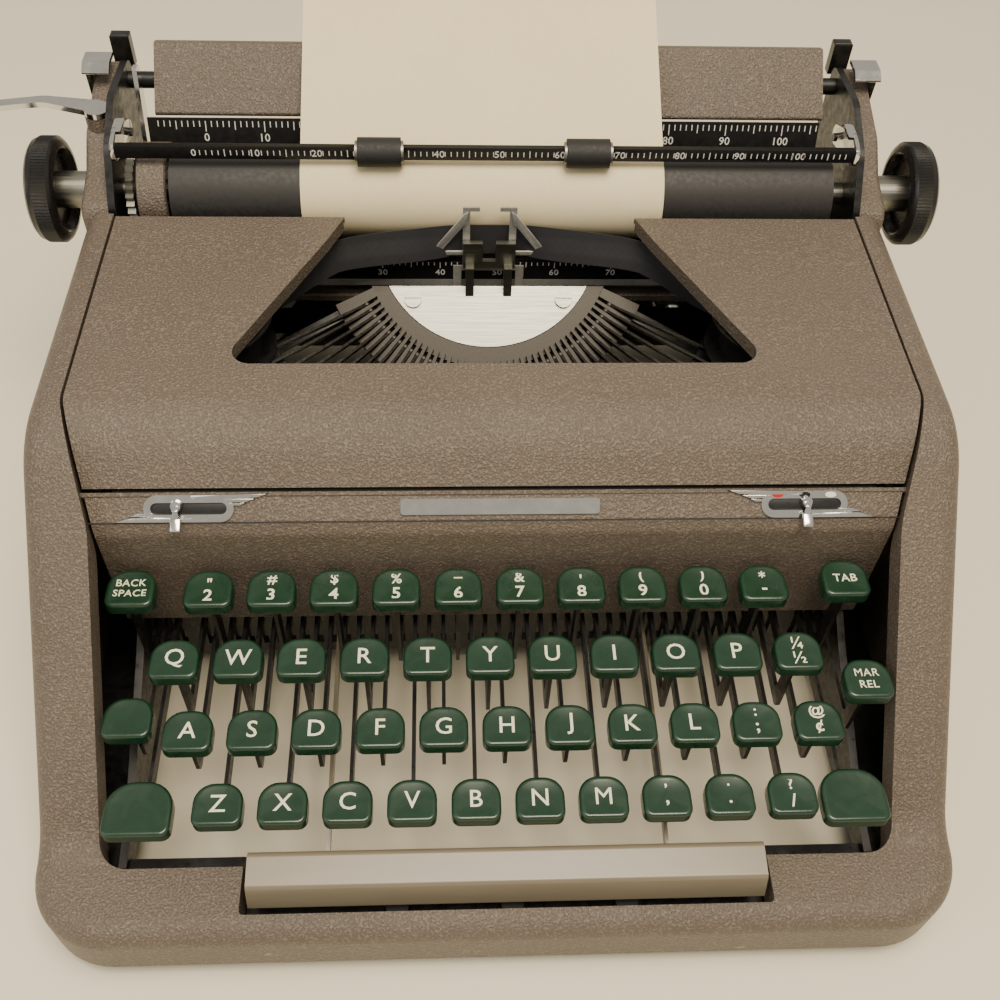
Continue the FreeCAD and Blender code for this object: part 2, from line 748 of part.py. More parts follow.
def build_segment():
    reach = math.degrees(math.acos(CHORD / COMB_RADIUS))
    casting = basket_sector(0, RING_RADIUS, (-7.0, -2.2), 89.0, CHORD)
    ring = basket_sector(PLATE_RADIUS + 0.3, RING_RADIUS, (-7.0, 0.0), 89.0, CHORD)
    comb = basket_sector(RING_RADIUS, COMB_RADIUS, (-7.0, 3.0), min(reach, 65.0), CHORD)
    slot = basket_plate([
        (-SLOT_WIDTH / 2, PIVOT_RADIUS - 3.2), (SLOT_WIDTH / 2, PIVOT_RADIUS - 3.2),
        (SLOT_WIDTH / 2, COMB_RADIUS + 5), (-SLOT_WIDTH / 2, COMB_RADIUS + 5),
    ], (-3.0, 6.0))
    slots = []
    for i in range(BAR_COUNT):
        turned = slot.copy()
        turned.rotate(CENTRE, AXIS, bar_angle(i))
        slots.append(turned)
    comb = comb.cut(Part.makeCompound(slots))
    inner = basket_plate([
        (-SLOT_WIDTH / 2, RING_RADIUS - 1), (SLOT_WIDTH / 2, RING_RADIUS - 1),
        (SLOT_WIDTH / 2, PIVOT_RADIUS), (-SLOT_WIDTH / 2, PIVOT_RADIUS),
    ], (0.05, 6.0))
    grooves = []
    for i in range(BAR_COUNT):
        turned = inner.copy()
        turned.rotate(CENTRE, AXIS, bar_angle(i))
        grooves.append(turned)
    comb = comb.cut(Part.makeCompound(grooves))
    beam = box((-112.0, 112.0), (219.0, 226.0), (69.5, 76.0))
    segment = join([casting, ring, comb.common(behind_limit()), beam])
    return segment.common(behind_limit())


def build_segment_plate():
    plate = basket_sector(0, PLATE_RADIUS, (-2.0, 0.0), 89.0, CHORD)
    return plate.common(behind_limit())


def build_segment_screws():
    heads = []
    for x in (-28.0, 28.0):
        head = Part.makeCylinder(3.2, 1.3, in_basket(23.5, 0.0) + Vector(x, 0, 0), AXIS)
        slot = basket_plate([(x - 4, 23.1), (x + 4, 23.1), (x + 4, 23.9), (x - 4, 23.9)],
                            (0.7, 2.0))
        heads.append(head.cut(slot))
    return group(heads)


def build_type_rest():
    top = PIVOT_RISE + (91.0 - PIVOT_RADIUS) * math.tan(math.radians(REST_ANGLE)) - 4.3
    pad = basket_sector(88.0, 94.0, (top - 4.0, top), 62.0)
    arms = []
    for angle in (-62.5, 62.5):
        arm = basket_plate([(-2.0, COMB_RADIUS - 4), (2.0, COMB_RADIUS - 4), (2.0, 92.0),
                            (-2.0, 92.0)], (-7.0, -4.0))
        post = basket_plate([(-2.0, 89.0), (2.0, 89.0), (2.0, 92.0), (-2.0, 92.0)],
                            (-7.0, top - 3.0))
        stay = join([arm, post])
        stay.rotate(CENTRE, AXIS, angle)
        arms.append(stay)
    return join([pad, *arms]).cut(build_segment())


def build_type_guide():
    face_y = (BASKET_BACK_Y - 2.0, BASKET_BACK_Y)
    cheek = box((2.4, 9.5), face_y, (97.0, 106.0))
    bridge = box((-9.5, 9.5), face_y, (95.0, 98.0))
    leg = box((5.5, 8.5), (BASKET_BACK_Y - 5.0, BASKET_BACK_Y), (70.0, 97.0))
    guide = join([cheek, mirrored(cheek), bridge, leg, mirrored(leg)])
    fixed = build_segment().fuse(build_segment_plate())
    guide = guide.cut(fixed)
    tallest = max(guide.Solids, key=lambda solid: solid.BoundBox.ZMax)
    return tallest


def build_ribbon_vibrator():
    y = (BASKET_BACK_Y + 0.4, BASKET_BACK_Y + 1.1)
    prong = box((7.0, 9.6), y, (92.0, 120.0))
    stem = box((10.0, 13.0), y, (60.0, 94.0))
    base = box((-13.0, 13.0), y, (92.0, 94.0))
    hook = box((3.6, 9.6), y, (118.4, 120.0))
    half = [prong, stem, hook]
    return join([*half, *[mirrored(piece) for piece in half], base])


def build_ribbon():
    face = PRINT_Y + 0.4
    start = (SPOOL_X - 12.2, SPOOL_Y + 11.4)
    outer = [(-start[0], start[1]), (-58.0, 213.0), (-14.0, face), (14.0, face),
             (58.0, 213.0), (start[0], start[1])]
    thick = 0.3
    inner = [(x, y + thick) for x, y in reversed(outer)]
    return plan_plate([*outer, *inner], RIBBON_Z)


def build_spool(side):
    x = side * SPOOL_X
    low, high = RIBBON_Z
    pack = cyl_z(16.0, x, SPOOL_Y, (low - 0.6, high + 0.4))
    lower = cyl_z(SPOOL_RADIUS, x, SPOOL_Y, (low - 1.4, low - 0.6))
    upper = cyl_z(SPOOL_RADIUS, x, SPOOL_Y, (high + 0.4, high + 1.2))
    nut = cyl_z(5.0, x, SPOOL_Y, (high + 1.2, high + 2.2))
    spool = join([pack, lower, upper, nut])
    drive = box((x - 0.8, x + 0.8), (SPOOL_Y + 6.0, SPOOL_Y + 9.0), (high, high + 3.0))
    spool = spool.cut(drive)
    return spool.cut(cyl_z(2.0 + RUNNING, x, SPOOL_Y, (low - 3, high + 1.9)))


# ---------------------------------------------------------------- carriage

BED_BOTTOM = DECK_TOP + RAIL_RISE + BED_CLEARANCE
BED_TOP = BED_BOTTOM + 2.2


def build_carriage_frame():
    end = side_plate([
        (230.8, BED_BOTTOM),
        (284.0, BED_BOTTOM),
        (291.0, 100.0, 10.0),
        (291.0, 140.0, 5.0),
        (262.0, 142.0, 10.0),
        (243.0, 133.0, 8.0),
        (230.8, 116.0, 8.0),
    ], END_PLATE_X)
    end = end.cut(cyl_x(SHAFT_RADIUS + RUNNING, (120, 140), PLATEN_Y, PLATEN_Z))
    bail_pin = cyl_x(1.5, (BAIL_ARM_X[0] - 0.6, END_PLATE_X[0] + 0.5), BAIL_PIVOT_Y, BAIL_PIVOT_Z)
    sides = [end, bail_pin]
    sides += [mirrored(piece) for piece in sides]
    across = (-END_PLATE_X[0] - 0.5, END_PLATE_X[0] + 0.5)
    front = box(across, (230.8, 240.0), (BED_BOTTOM, BED_TOP))
    rear = box(across, (270.0, 284.0), (BED_BOTTOM, BED_TOP))
    tie = cyl_x(TIE_RADIUS, across, TIE_Y, TIE_Z)
    pin_x = (-END_PLATE_X[0] - 0.5, -124.2)
    pin = cyl_x(2.0, pin_x, PAPER_RELEASE_Y, PAPER_RELEASE_Z)
    return join([*sides, front, rear, tie, pin])


def build_end_cover(side):
    """A hollow cap outside a carriage end plate; side is 1 on the right, -1 on the left."""
    rim = [
        (229.8, 90.0, 3.0),
        (293.0, 90.0, 4.0),
        (*END_COVER_TOP[2], 4.0),
        (*END_COVER_TOP[1], 10.0),
        (*END_COVER_TOP[0], 6.0),
        (229.8, 117.0, 6.0),
    ]
    inside = [
        (232.0, 92.2, 1.5),
        (290.8, 92.2, 2.0),
        (290.8, END_COVER_TOP[2][1] - 2.8, 2.0),
        (END_COVER_TOP[1][0] + 0.8, END_COVER_TOP[1][1] - 2.2, 8.0),
        (END_COVER_TOP[0][0] + 0.8, END_COVER_TOP[0][1] - 2.4, 4.0),
        (232.0, 115.2, 4.0),
    ]
    cap = side_plate(rim, (END_PLATE_X[1], END_COVER_X))
    edges = [edge for edge in cap.Edges if edge.BoundBox.XMin > END_COVER_X - 0.1]
    cap = cap.makeFillet(2.0, edges)
    cap = cap.cut(side_plate(inside, (END_PLATE_X[1] - 1, END_COVER_X - 2.2)))
    cap = cap.cut(cyl_x(SHAFT_RADIUS + 1.0, (120, 160), PLATEN_Y, PLATEN_Z))
    cap = cap.cut(cyl_x(2.0 + RUNNING, (120, 160), RELEASE_Y, RELEASE_Z))
    if side < 0:
        cap = mirrored(cap)
        boss = cyl_z(4.6, RETURN_X, RETURN_Y, (LEVER_HUB_TOP - 6.6, LEVER_HUB_TOP))
        bore = cyl_z(RETURN_PIN_RADIUS + RUNNING, RETURN_X, RETURN_Y, (100.0, 160.0))
        cap = join([cap, boss]).cut(bore)
    return cap


def build_platen():
    bore = cyl_x(SHAFT_RADIUS + 0.02, (-200, 200), PLATEN_Y, PLATEN_Z)
    return cyl_x(PLATEN_RADIUS, PLATEN_X, PLATEN_Y, PLATEN_Z).cut(bore)


def build_platen_shaft():
    reach = KNOB_X[1] - 2.02
    shaft = cyl_x(SHAFT_RADIUS, (-reach, reach), PLATEN_Y, PLATEN_Z)
    ratchet = cyl_x(13.0, (-119.5, -116.5), PLATEN_Y, PLATEN_Z)
    teeth = 30
    for i in range(teeth):
        angle = 2 * math.pi * i / teeth
        y = PLATEN_Y + 13.2 * math.cos(angle)
        z = PLATEN_Z + 13.2 * math.sin(angle)
        ratchet = ratchet.cut(cyl_x(0.9, (-121, -115), y, z))
    collar = cyl_x(HUB_RADIUS, (END_COVER_X + 0.5, KNOB_X[0] + KNOB_RECESS), PLATEN_Y, PLATEN_Z)
    return join([shaft, ratchet, collar, mirrored(collar)])


def build_knob(side):
    """A round grip, hollowed on its inner face round the hub."""
    knob = cyl_x(KNOB_RADIUS, KNOB_X, PLATEN_Y, PLATEN_Z)
    knob = knob.makeFillet(1.6, [edge for edge in knob.Edges if edge.BoundBox.XLength < 0.1])
    hollow = cyl_x(KNOB_RADIUS - 4.2, (KNOB_X[0] - 1, KNOB_X[0] + KNOB_RECESS), PLATEN_Y, PLATEN_Z)
    bore = cyl_x(SHAFT_RADIUS + 0.02, (KNOB_X[0] - 1, KNOB_X[1] - 2.0), PLATEN_Y, PLATEN_Z)
    knob = knob.cut(hollow).cut(bore)
    return knob if side > 0 else mirrored(knob)


def build_feed_rollers():
    angle = math.radians(-62.0)
    roller = 4.4
    gap = PLATEN_RADIUS + 0.3 + roller
    y = PLATEN_Y + gap * math.cos(angle)
    z = PLATEN_Z + gap * math.sin(angle)
    pieces = [cyl_x(1.6, (-END_PLATE_X[0], END_PLATE_X[0]), y, z)]
    for x in (-84.0, -34.0, 22.0, 76.0):
        pieces.append(cyl_x(roller, (x, x + 26.0), y, z))
    return join(pieces)


def build_paper_bail():
    arm = side_plate([
        (BAIL_PIVOT_Y + 3.5, BAIL_PIVOT_Z - 3.5, 3.4),
        (BAIL_PIVOT_Y + 3.5, BAIL_PIVOT_Z + 3.5, 3.4),
        (BAIL_Y + 6.0, BAIL_Z + 5.0, 3.0),
        (BAIL_Y - 2.6, BAIL_Z + 3.2, 2.0),
        (BAIL_Y - 2.6, BAIL_Z - 3.0, 2.0),
    ], BAIL_ARM_X)
    arm = arm.cut(cyl_x(1.5 + RUNNING, (120, 135), BAIL_PIVOT_Y, BAIL_PIVOT_Z))
    tab = box((127.2, BAIL_ARM_X[1]), (BAIL_Y + 4.0, BAIL_Y + 12.0), (BAIL_Z + 3.6, BAIL_Z + 4.8))
    bar = box((-BAIL_ARM_X[1], BAIL_ARM_X[1]), (BAIL_Y - 1.0, BAIL_Y + 1.0),
              (BAIL_Z - 2.5, BAIL_Z + 2.5))
    return join([arm, mirrored(arm), tab, mirrored(tab), bar])


def build_bail_rollers():
    rollers = []
    for x in BAIL_ROLLERS:
        roller = cyl_x(BAIL_ROLLER_RADIUS, (x - 7.5, x + 7.5), BAIL_Y, BAIL_Z)
        rollers.append(roller.cut(cyl_x(2.8, (x - 8, x + 8), BAIL_Y, BAIL_Z)))
    return group(rollers)


def build_carriage_scale():
    return box((-110.0, 110.0), (230.0, 230.8), (BED_BOTTOM + 0.4, 95.0))


def build_paper_table():
    sheet = side_plate([
        (268.0, 131.0, 1.0),
        (286.8, 148.0, 2.0),
        (290.5, 146.6),
        (290.0, 145.3),
        (287.4, 146.2, 1.0),
        (269.0, 129.6),
    ], TABLE_X)
    stay = side_plate([
        (279.0, 139.2), (284.5, 144.2), (TIE_Y + 5.5, TIE_Z, 2.0), (TIE_Y, TIE_Z - 5.5, 2.0),
        (TIE_Y - 5.5, TIE_Z),
    ], (-90.0, -86.0))
    tie = cyl_x(TIE_RADIUS + 0.02, (-100, 100), TIE_Y, TIE_Z)
    stay = stay.cut(tie)
    stays = [stay, moved(stay, 88.0), moved(stay, 178.0)]
    return join([sheet, *stays])


def build_paper_scale():
    return side_plate([
        (265.2, 118.8), (268.4, 129.3), (267.2, 129.9), (264.0, 119.2),
    ], (-123.0, 123.0))


def build_paper():
    """A sheet that comes round the platen and leans back over the paper table."""
    inner = PLATEN_RADIUS + 0.1
    outer = inner + PAPER_THICK
    leave = math.radians(PAPER_LEAVES)
    way = Vector(0, math.sin(leave), -math.cos(leave))

    def rim(radius, degrees):
        angle = math.radians(degrees)
        return Vector(0, PLATEN_Y + radius * math.cos(angle), PLATEN_Z + radius * math.sin(angle))

    end = 262.0
    middle = (PAPER_LEAVES + end) / 2
    low = Part.Arc(rim(inner, PAPER_LEAVES), rim(inner, middle), rim(inner, end)).toShape()
    high = Part.Arc(rim(outer, PAPER_LEAVES), rim(outer, middle), rim(outer, end)).toShape()
    corners = [rim(inner, PAPER_LEAVES), rim(outer, PAPER_LEAVES)]
    far = [point + way * PAPER_LENGTH for point in corners]
    edges = [
        low,
        Part.makeLine(rim(inner, end), rim(outer, end)),
        high,
        Part.makeLine(corners[1], far[1]),
        Part.makeLine(far[1], far[0]),
        Part.makeLine(far[0], corners[0]),
    ]
    face = Part.Face(Part.Wire(Part.__sortEdges__(edges)))
    return moved(face.extrude(Vector(PAPER_X[1] - PAPER_X[0], 0, 0)), x=PAPER_X[0])


def build_return_lever():
    top = LEVER_HUB_TOP + 0.3
    z = (top, top + 2.0)
    hub = cyl_z(4.5, RETURN_X, RETURN_Y, z)
    pin = cyl_z(RETURN_PIN_RADIUS, RETURN_X, RETURN_Y, (LEVER_HUB_TOP - 6.6, z[1]))
    arm = plan_plate([
        (RETURN_X + 3.0, RETURN_Y - 4.0, 1.5),
        (RETURN_X + 1.0, RETURN_Y + 4.8, 1.5),
        (-158.0, 269.6, 12.0),
        (-176.0, 266.0, 12.0),
        (-203.0, 254.0, 1.8),
        (-201.4, 250.4, 1.8),
        (-175.0, 262.0, 12.0),
        (-158.0, 265.4, 12.0),
    ], z)
    paddle = plan_plate([
        (-202.0, 253.6), (-188.0, 259.6), (-187.2, 257.6), (-201.2, 251.6),
    ], (top - 4.0, top + 5.0))
    return join([hub, pin, arm, paddle])


def build_release_lever(side):
    """An upright lever outside the end cover, its finger pad turned in over the cover."""
    x = (END_COVER_X + 0.4, END_COVER_X + 1.8)
    top = END_COVER_TOP[2][1] + 3.0
    plate = side_plate([
        (RELEASE_Y + 4.5, RELEASE_Z - 4.0, 4.0),
        (RELEASE_Y + 4.5, RELEASE_Z + 4.0, 3.0),
        (RELEASE_Y + 1.0, top),
        (RELEASE_Y - 6.0, top),
        (RELEASE_Y - 4.5, RELEASE_Z - 4.0, 4.0),
    ], x)
    pad = side_plate([
        (RELEASE_Y + 1.0, top + 1.4, 0.4),
        (RELEASE_Y + 1.0, top),
        (RELEASE_Y - 6.0, top),
        (RELEASE_Y - 9.4, top - 1.8, 0.4),
        (RELEASE_Y - 9.8, top - 0.6, 0.4),
        (RELEASE_Y - 6.2, top + 1.4, 1.0),
    ], (x[1] - 9.6, x[1]))
    pin = cyl_x(2.0, (END_COVER_X - 2.2, END_COVER_X + 1.0), RELEASE_Y, RELEASE_Z)
    lever = join([plate, pad, pin])
    return lever if side > 0 else mirrored(lever)


def build_paper_release():
    lever = side_plate([
        (PAPER_RELEASE_Y - 4.5, PAPER_RELEASE_Z - 4.5, 3.8),
        (PAPER_RELEASE_Y + 4.5, PAPER_RELEASE_Z - 4.5, 3.8),
        (PAPER_RELEASE_Y + 5.0, PAPER_RELEASE_Z + 10.0, 6.0),
        (PAPER_RELEASE_Y + 9.5, 144.0, 2.0),
        (PAPER_RELEASE_Y + 4.5, 145.0, 2.0),
        (PAPER_RELEASE_Y - 2.0, PAPER_RELEASE_Z + 10.0, 6.0),
    ], (-126.4, -124.8))
    bore = cyl_x(2.0 + RUNNING, (-130, -120), PAPER_RELEASE_Y, PAPER_RELEASE_Z)
    return lever.cut(bore)


def build_margin_key(side):
    top = END_COVER_TOP[2][1] + 7.0
    key = box((130.4, 137.4), (293.6, 297.6), (134.0, top))
    edges = [edge for edge in key.Edges if edge.BoundBox.ZMin > top - 0.1]
    key = key.makeFillet(1.0, edges)
    return key if side > 0 else mirrored(key)


# ---------------------------------------------------------------- all parts


def build_all():
    parts = {
        "body_shell": build_body_shell(),
        "front_panel": build_front_panel(),
        "ribbon_cover": build_ribbon_cover(),
        "slot_plates": build_slot_plates(),
        "touch_lever": build_slot_lever(-96.2),
        "selector_lever": build_slot_lever(93.1),
        "trim_bar": build_trim_bar(),
        "inner_frame": build_inner_frame(),
        "feet": build_feet(),
        "foot_screws": build_foot_screws(),
        "space_stops": build_space_stops(),
        "lever_comb": build_lever_comb(),
        "fulcrum_rod": build_fulcrum_rod(),
        "carriage_rails": build_carriage_rails(),
        "mainspring_drum": build_wheel(DRUM_X, 18.0, 0, (SHELF_TOP + 0.4, SHELF_TOP + 13.0)),
        "escapement_wheel": build_wheel(ESCAPEMENT_X, 13.0, 24, (SHELF_TOP + 0.4, SHELF_TOP + 2.4)),
        "bell": build_bell(),
        "typebar_h": type_bar(STRUCK_BAR),
        "typebars": build_typebars(),
        "segment": build_segment(),
        "segment_plate": build_segment_plate(),
        "segment_screws": build_segment_screws(),
        "type_rest": build_type_rest(),
        "type_guide": build_type_guide(),
        "ribbon_vibrator": build_ribbon_vibrator(),
        "ribbon": build_ribbon(),
        "spool_left": build_spool(-1),
        "spool_right": build_spool(1),
        "key_h": build_struck_key(),
        "space_bar": build_space_bar(),
        "carriage_frame": build_carriage_frame(),
        "end_cover_left": build_end_cover(-1),
        "end_cover_right": build_end_cover(1),
        "platen": build_platen(),
        "platen_shaft": build_platen_shaft(),
        "knob_left": build_knob(-1),
        "knob_right": build_knob(1),
        "feed_rollers": build_feed_rollers(),
        "paper_bail": build_paper_bail(),
        "bail_rollers": build_bail_rollers(),
        "carriage_scale": build_carriage_scale(),
        "paper_table": build_paper_table(),
        "paper_scale": build_paper_scale(),
        "paper": build_paper(),
        "return_lever": build_return_lever(),
        "carriage_release_left": build_release_lever(-1),
        "carriage_release_right": build_release_lever(1),
        "paper_release_lever": build_paper_release(),
        "margin_key_left": build_margin_key(-1),
        "margin_key_right": build_margin_key(1),
    }
    for name in ROWS:
        parts[name] = build_row(name)
    for name in FUNCTION_KEYS:
        parts[name] = build_function_key(name)
    return parts


def origin_of(parts):
    """The middle of the underside of all the parts together."""
    bounds = [shape.optimalBoundingBox(False, False) for shape in parts.values()]
    x = (min(b.XMin for b in bounds) + max(b.XMax for b in bounds)) / 2
    y = (min(b.YMin for b in bounds) + max(b.YMax for b in bounds)) / 2
    return Vector(x, y, min(b.ZMin for b in bounds))


def write_parts():
    os.makedirs("parts", exist_ok=True)
    parts = build_all()
    origin = origin_of(parts)
    for name, shape in parts.items():
        moved(shape, -origin.x, -origin.y, -origin.z).exportStep("parts/" + name + ".step")
    print("origin", round(origin.x, 4), round(origin.y, 4), round(origin.z, 4), len(parts))


if __name__ == "__main__":
    write_parts()
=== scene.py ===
# %% [markdown]
# A portable typewriter. The shapes come from an engineering model that is loaded as a fixed
# frame: every key, lever and roller is already where it belongs, in metres. This lesson gives
# each part its finish, and rebuilds the parts whose small detail the model leaves out:
# dished key tops with their inlaid letters, divided scales and the typing ribbon's weave.

# %% Load the frame
import json
import math

import bmesh
import bpy
from mathutils import Matrix, Vector


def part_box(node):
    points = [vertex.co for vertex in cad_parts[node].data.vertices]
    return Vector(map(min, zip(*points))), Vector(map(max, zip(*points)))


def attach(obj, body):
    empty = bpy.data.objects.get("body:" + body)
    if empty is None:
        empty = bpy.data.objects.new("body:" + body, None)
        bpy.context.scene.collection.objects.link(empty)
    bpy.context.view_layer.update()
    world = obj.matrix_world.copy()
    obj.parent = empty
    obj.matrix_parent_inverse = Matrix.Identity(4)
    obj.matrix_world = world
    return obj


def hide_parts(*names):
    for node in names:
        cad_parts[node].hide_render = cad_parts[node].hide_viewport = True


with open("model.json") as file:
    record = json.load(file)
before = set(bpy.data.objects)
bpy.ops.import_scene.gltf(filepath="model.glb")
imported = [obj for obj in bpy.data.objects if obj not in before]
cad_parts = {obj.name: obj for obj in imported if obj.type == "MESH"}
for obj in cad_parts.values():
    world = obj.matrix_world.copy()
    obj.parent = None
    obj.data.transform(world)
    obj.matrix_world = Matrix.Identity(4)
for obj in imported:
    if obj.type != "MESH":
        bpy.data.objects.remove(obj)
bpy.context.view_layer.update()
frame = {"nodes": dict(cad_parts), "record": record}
nodes = frame["nodes"]
scene = bpy.context.scene

# %% [markdown]
# The machine was drawn about its middle plane and the point where the types strike the paper.
# The body shell is symmetrical and its front edge is 7.5 mm forward of the drawing's zero, so
# its box says where that drawing lies in the frame. `at` turns a place on the drawing, in
# millimetres, into the frame's metres.

# %% Units and places
MM = 0.001
SHELL_FRONT = 7.5
shell_low, shell_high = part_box("body_shell")
ORIGIN = Vector(((shell_low.x + shell_high.x) / 2 / MM, shell_low.y / MM - SHELL_FRONT, 0.0))


def at(x, y, z):
    """A place measured in millimetres from below the printing point, in the frame's metres."""
    return (Vector((x, y, z)) + ORIGIN) * MM


def per_mm(size):
    """The texture scale that gives a pattern of this size in millimetres."""
    return 1.0 / (size * MM)


print("printing point:", at(0, 230.2, 112))

# %% [markdown]
# Materials. Colours are picked as sRGB hex values, but shaders calculate in linear light, so
# one function turns one into the other. A second small function adds any node, with its
# settings and its inputs in one call; every material below is written with it.

# %% Material helpers


def linear(colour):
    """An sRGB hex colour as the linear RGBA that shader sockets take."""
    channels = [int(colour[i:i + 2], 16) / 255 for i in (1, 3, 5)]
    curve = [c / 12.92 if c <= 0.04045 else ((c + 0.055) / 1.055) ** 2.4 for c in channels]
    return (*curve, 1.0)


def add(tree, kind, inputs, **settings):
    """A new shader node. An input that is a socket is linked, and anything else is a value."""
    node = tree.nodes.new("ShaderNode" + kind)
    for name, value in settings.items():
        setattr(node, name, value)
    for key, value in inputs.items():
        if isinstance(value, bpy.types.NodeSocket):
            tree.links.new(value, node.inputs[key])
        else:
            node.inputs[key].default_value = value
    return node


def start_material(name, **values):
    """A material with its shader's plain values set: its node tree, shader and coordinates."""
    material = bpy.data.materials.new(name)
    material.use_nodes = True
    tree = material.node_tree
    shader = tree.nodes["Principled BSDF"]
    for key, value in values.items():
        shader.inputs[key.replace("_", " ")].default_value = value
    return material, tree, shader, add(tree, "TexCoord", {}).outputs["Object"]


# a colour Mix node's sockets, which share names with its other data types
FACTOR, FIRST, SECOND, BLENDED = 0, 6, 7, 2

# %% [markdown]
# Crinkle enamel is a stove paint that wrinkles as it bakes, so grease and scratches don't show.
# Its wrinkles are under a millimetre across. They break a highlight into fine sparkle, so the
# relief matters more than the colour; lighter colour on the wrinkles' crests adds painted
# sparkle, a painted highlight. Two sizes of noise make the wrinkle, a third, slow one makes the
# cloudy tone of old paint, and lighter patches are mixed in low down, near the front's foot.

# %% Crinkle enamel
CRINKLE = 0.75
material, tree, shader, place = start_material("stoved_crinkle_enamel", Roughness=0.42)
cloud = add(tree, "TexNoise", {"Vector": place, "Scale": per_mm(45), "Detail": 3.0})
tone = add(tree, "Mix", {FACTOR: cloud.outputs["Fac"], FIRST: linear("#554b41"),
                         SECOND: linear("#62574c")}, data_type="RGBA")
grain = add(tree, "TexNoise", {"Vector": place, "Scale": per_mm(CRINKLE), "Detail": 2.0,
                               "Roughness": 0.55, "Distortion": 0.2})
# lighter colour where the grain stands high, on the wrinkles' crests: painted sparkle, a painted
# highlight
painted_sparkle_mask = add(tree, "MapRange", {"Value": grain.outputs["Fac"], "From Min": 0.5, "From Max": 0.72,
                               "To Max": 0.5})
tone_with_painted_sparkle = add(tree, "Mix", {FACTOR: painted_sparkle_mask.outputs["Result"], FIRST: tone.outputs[BLENDED],
                            SECOND: linear("#94897b")}, data_type="RGBA")
# lighter sand-coloured patches, fading in below 30 mm and at full strength below 12 mm
low_patch_noise = add(tree, "TexNoise", {"Vector": place, "Scale": per_mm(9), "Detail": 6.0,
                               "Roughness": 0.7})
height = add(tree, "SeparateXYZ", {"Vector": place})
low_down = add(tree, "MapRange", {"Value": height.outputs["Z"], "From Min": 0.030,
                                  "From Max": 0.012})
low_patch_edge = add(tree, "MapRange", {"Value": low_patch_noise.outputs["Fac"], "From Min": 0.66,
                                   "From Max": 0.69})
low_patches = add(tree, "Math", {0: low_patch_edge.outputs["Result"], 1: low_down.outputs["Result"]},
              operation="MULTIPLY")
paint = add(tree, "Mix", {FACTOR: low_patches.outputs[0], FIRST: tone_with_painted_sparkle.outputs[BLENDED],
                          SECOND: linear("#a5977f")}, data_type="RGBA")
wrinkle = add(tree, "Bump", {"Height": grain.outputs["Fac"], "Strength": 1.0,
                             "Distance": 0.7 * MM})
tree.links.new(paint.outputs[BLENDED], shader.inputs["Base Color"])
tree.links.new(wrinkle.outputs["Normal"], shader.inputs["Normal"])
crinkle_enamel = material
print("made", material.name)

# %% [markdown]
# The keys are moulded in two shots: a cream legend inlaid in a deep green cap. Moulded plastic
# is even in colour and takes a gloss from the polished mould, and years of fingers give that
# gloss faint smears, so the roughness varies a little while the colour hardly does.

# %% Moulded green plastic and its cream legends
material, tree, shader, place = start_material("moulded_green_plastic", IOR=1.5, Coat_Weight=0.35,
                                               Coat_Roughness=0.08)
swirl = add(tree, "TexNoise", {"Vector": place, "Scale": per_mm(6), "Detail": 5.0,
                               "Distortion": 1.2})
green = add(tree, "Mix", {FACTOR: swirl.outputs["Fac"], FIRST: linear("#0c2a1a"),
                          SECOND: linear("#143723")}, data_type="RGBA")
smear = add(tree, "MapRange", {"Value": swirl.outputs["Fac"], "To Min": 0.2, "To Max": 0.38})
orange_peel = add(tree, "Bump", {"Height": swirl.outputs["Fac"], "Strength": 0.12,
                                 "Distance": 0.1 * MM})
tree.links.new(green.outputs[BLENDED], shader.inputs["Base Color"])
tree.links.new(smear.outputs["Result"], shader.inputs["Roughness"])
tree.links.new(orange_peel.outputs["Normal"], shader.inputs["Normal"])
green_plastic = material

material, tree, shader, place = start_material("inlaid_cream_plastic", Roughness=0.35, IOR=1.5)
ageing = add(tree, "TexNoise", {"Vector": place, "Scale": per_mm(3), "Detail": 4.0})
cream = add(tree, "Mix", {FACTOR: ageing.outputs["Fac"], FIRST: linear("#d9d6b8"),
                          SECOND: linear("#f2efd8")}, data_type="RGBA")
tree.links.new(cream.outputs[BLENDED], shader.inputs["Base Color"])
cream_plastic = material
print("made", green_plastic.name, "and", cream_plastic.name)

# %% [markdown]
# The space bar is moulded in a plain olive plastic. It is smoother than the enamel round it,
# with mould flow drawn out along its length, so its noise is stretched along X by a Mapping
# node.

# %% Moulded olive plastic
material, tree, shader, place = start_material("moulded_olive_plastic", Roughness=0.3, IOR=1.5,
                                               Coat_Weight=0.15, Coat_Roughness=0.2)
drawn = add(tree, "Mapping", {"Vector": place, "Scale": (0.12, 1.0, 1.0)})
flow = add(tree, "TexNoise", {"Vector": drawn.outputs["Vector"], "Scale": per_mm(4),
                              "Detail": 5.0})
olive = add(tree, "Mix", {FACTOR: flow.outputs["Fac"], FIRST: linear("#6f6655"),
                          SECOND: linear("#7d7461")}, data_type="RGBA")
ripple = add(tree, "Bump", {"Height": flow.outputs["Fac"], "Strength": 0.1,
                            "Distance": 0.15 * MM})
tree.links.new(olive.outputs[BLENDED], shader.inputs["Base Color"])
tree.links.new(ripple.outputs["Normal"], shader.inputs["Normal"])
olive_plastic = material
print("made", material.name)

# %% [markdown]
# The metals. Each is one reflecting colour, and what tells them apart is the surface: chrome is
# mirror-like with a few cloudy spots, ground steel carries fine straight lines, and the dull
# inner steel is dipped in black japan. One loop makes them from a short table, because they
# differ only in colour, roughness and the size and direction of their marks.

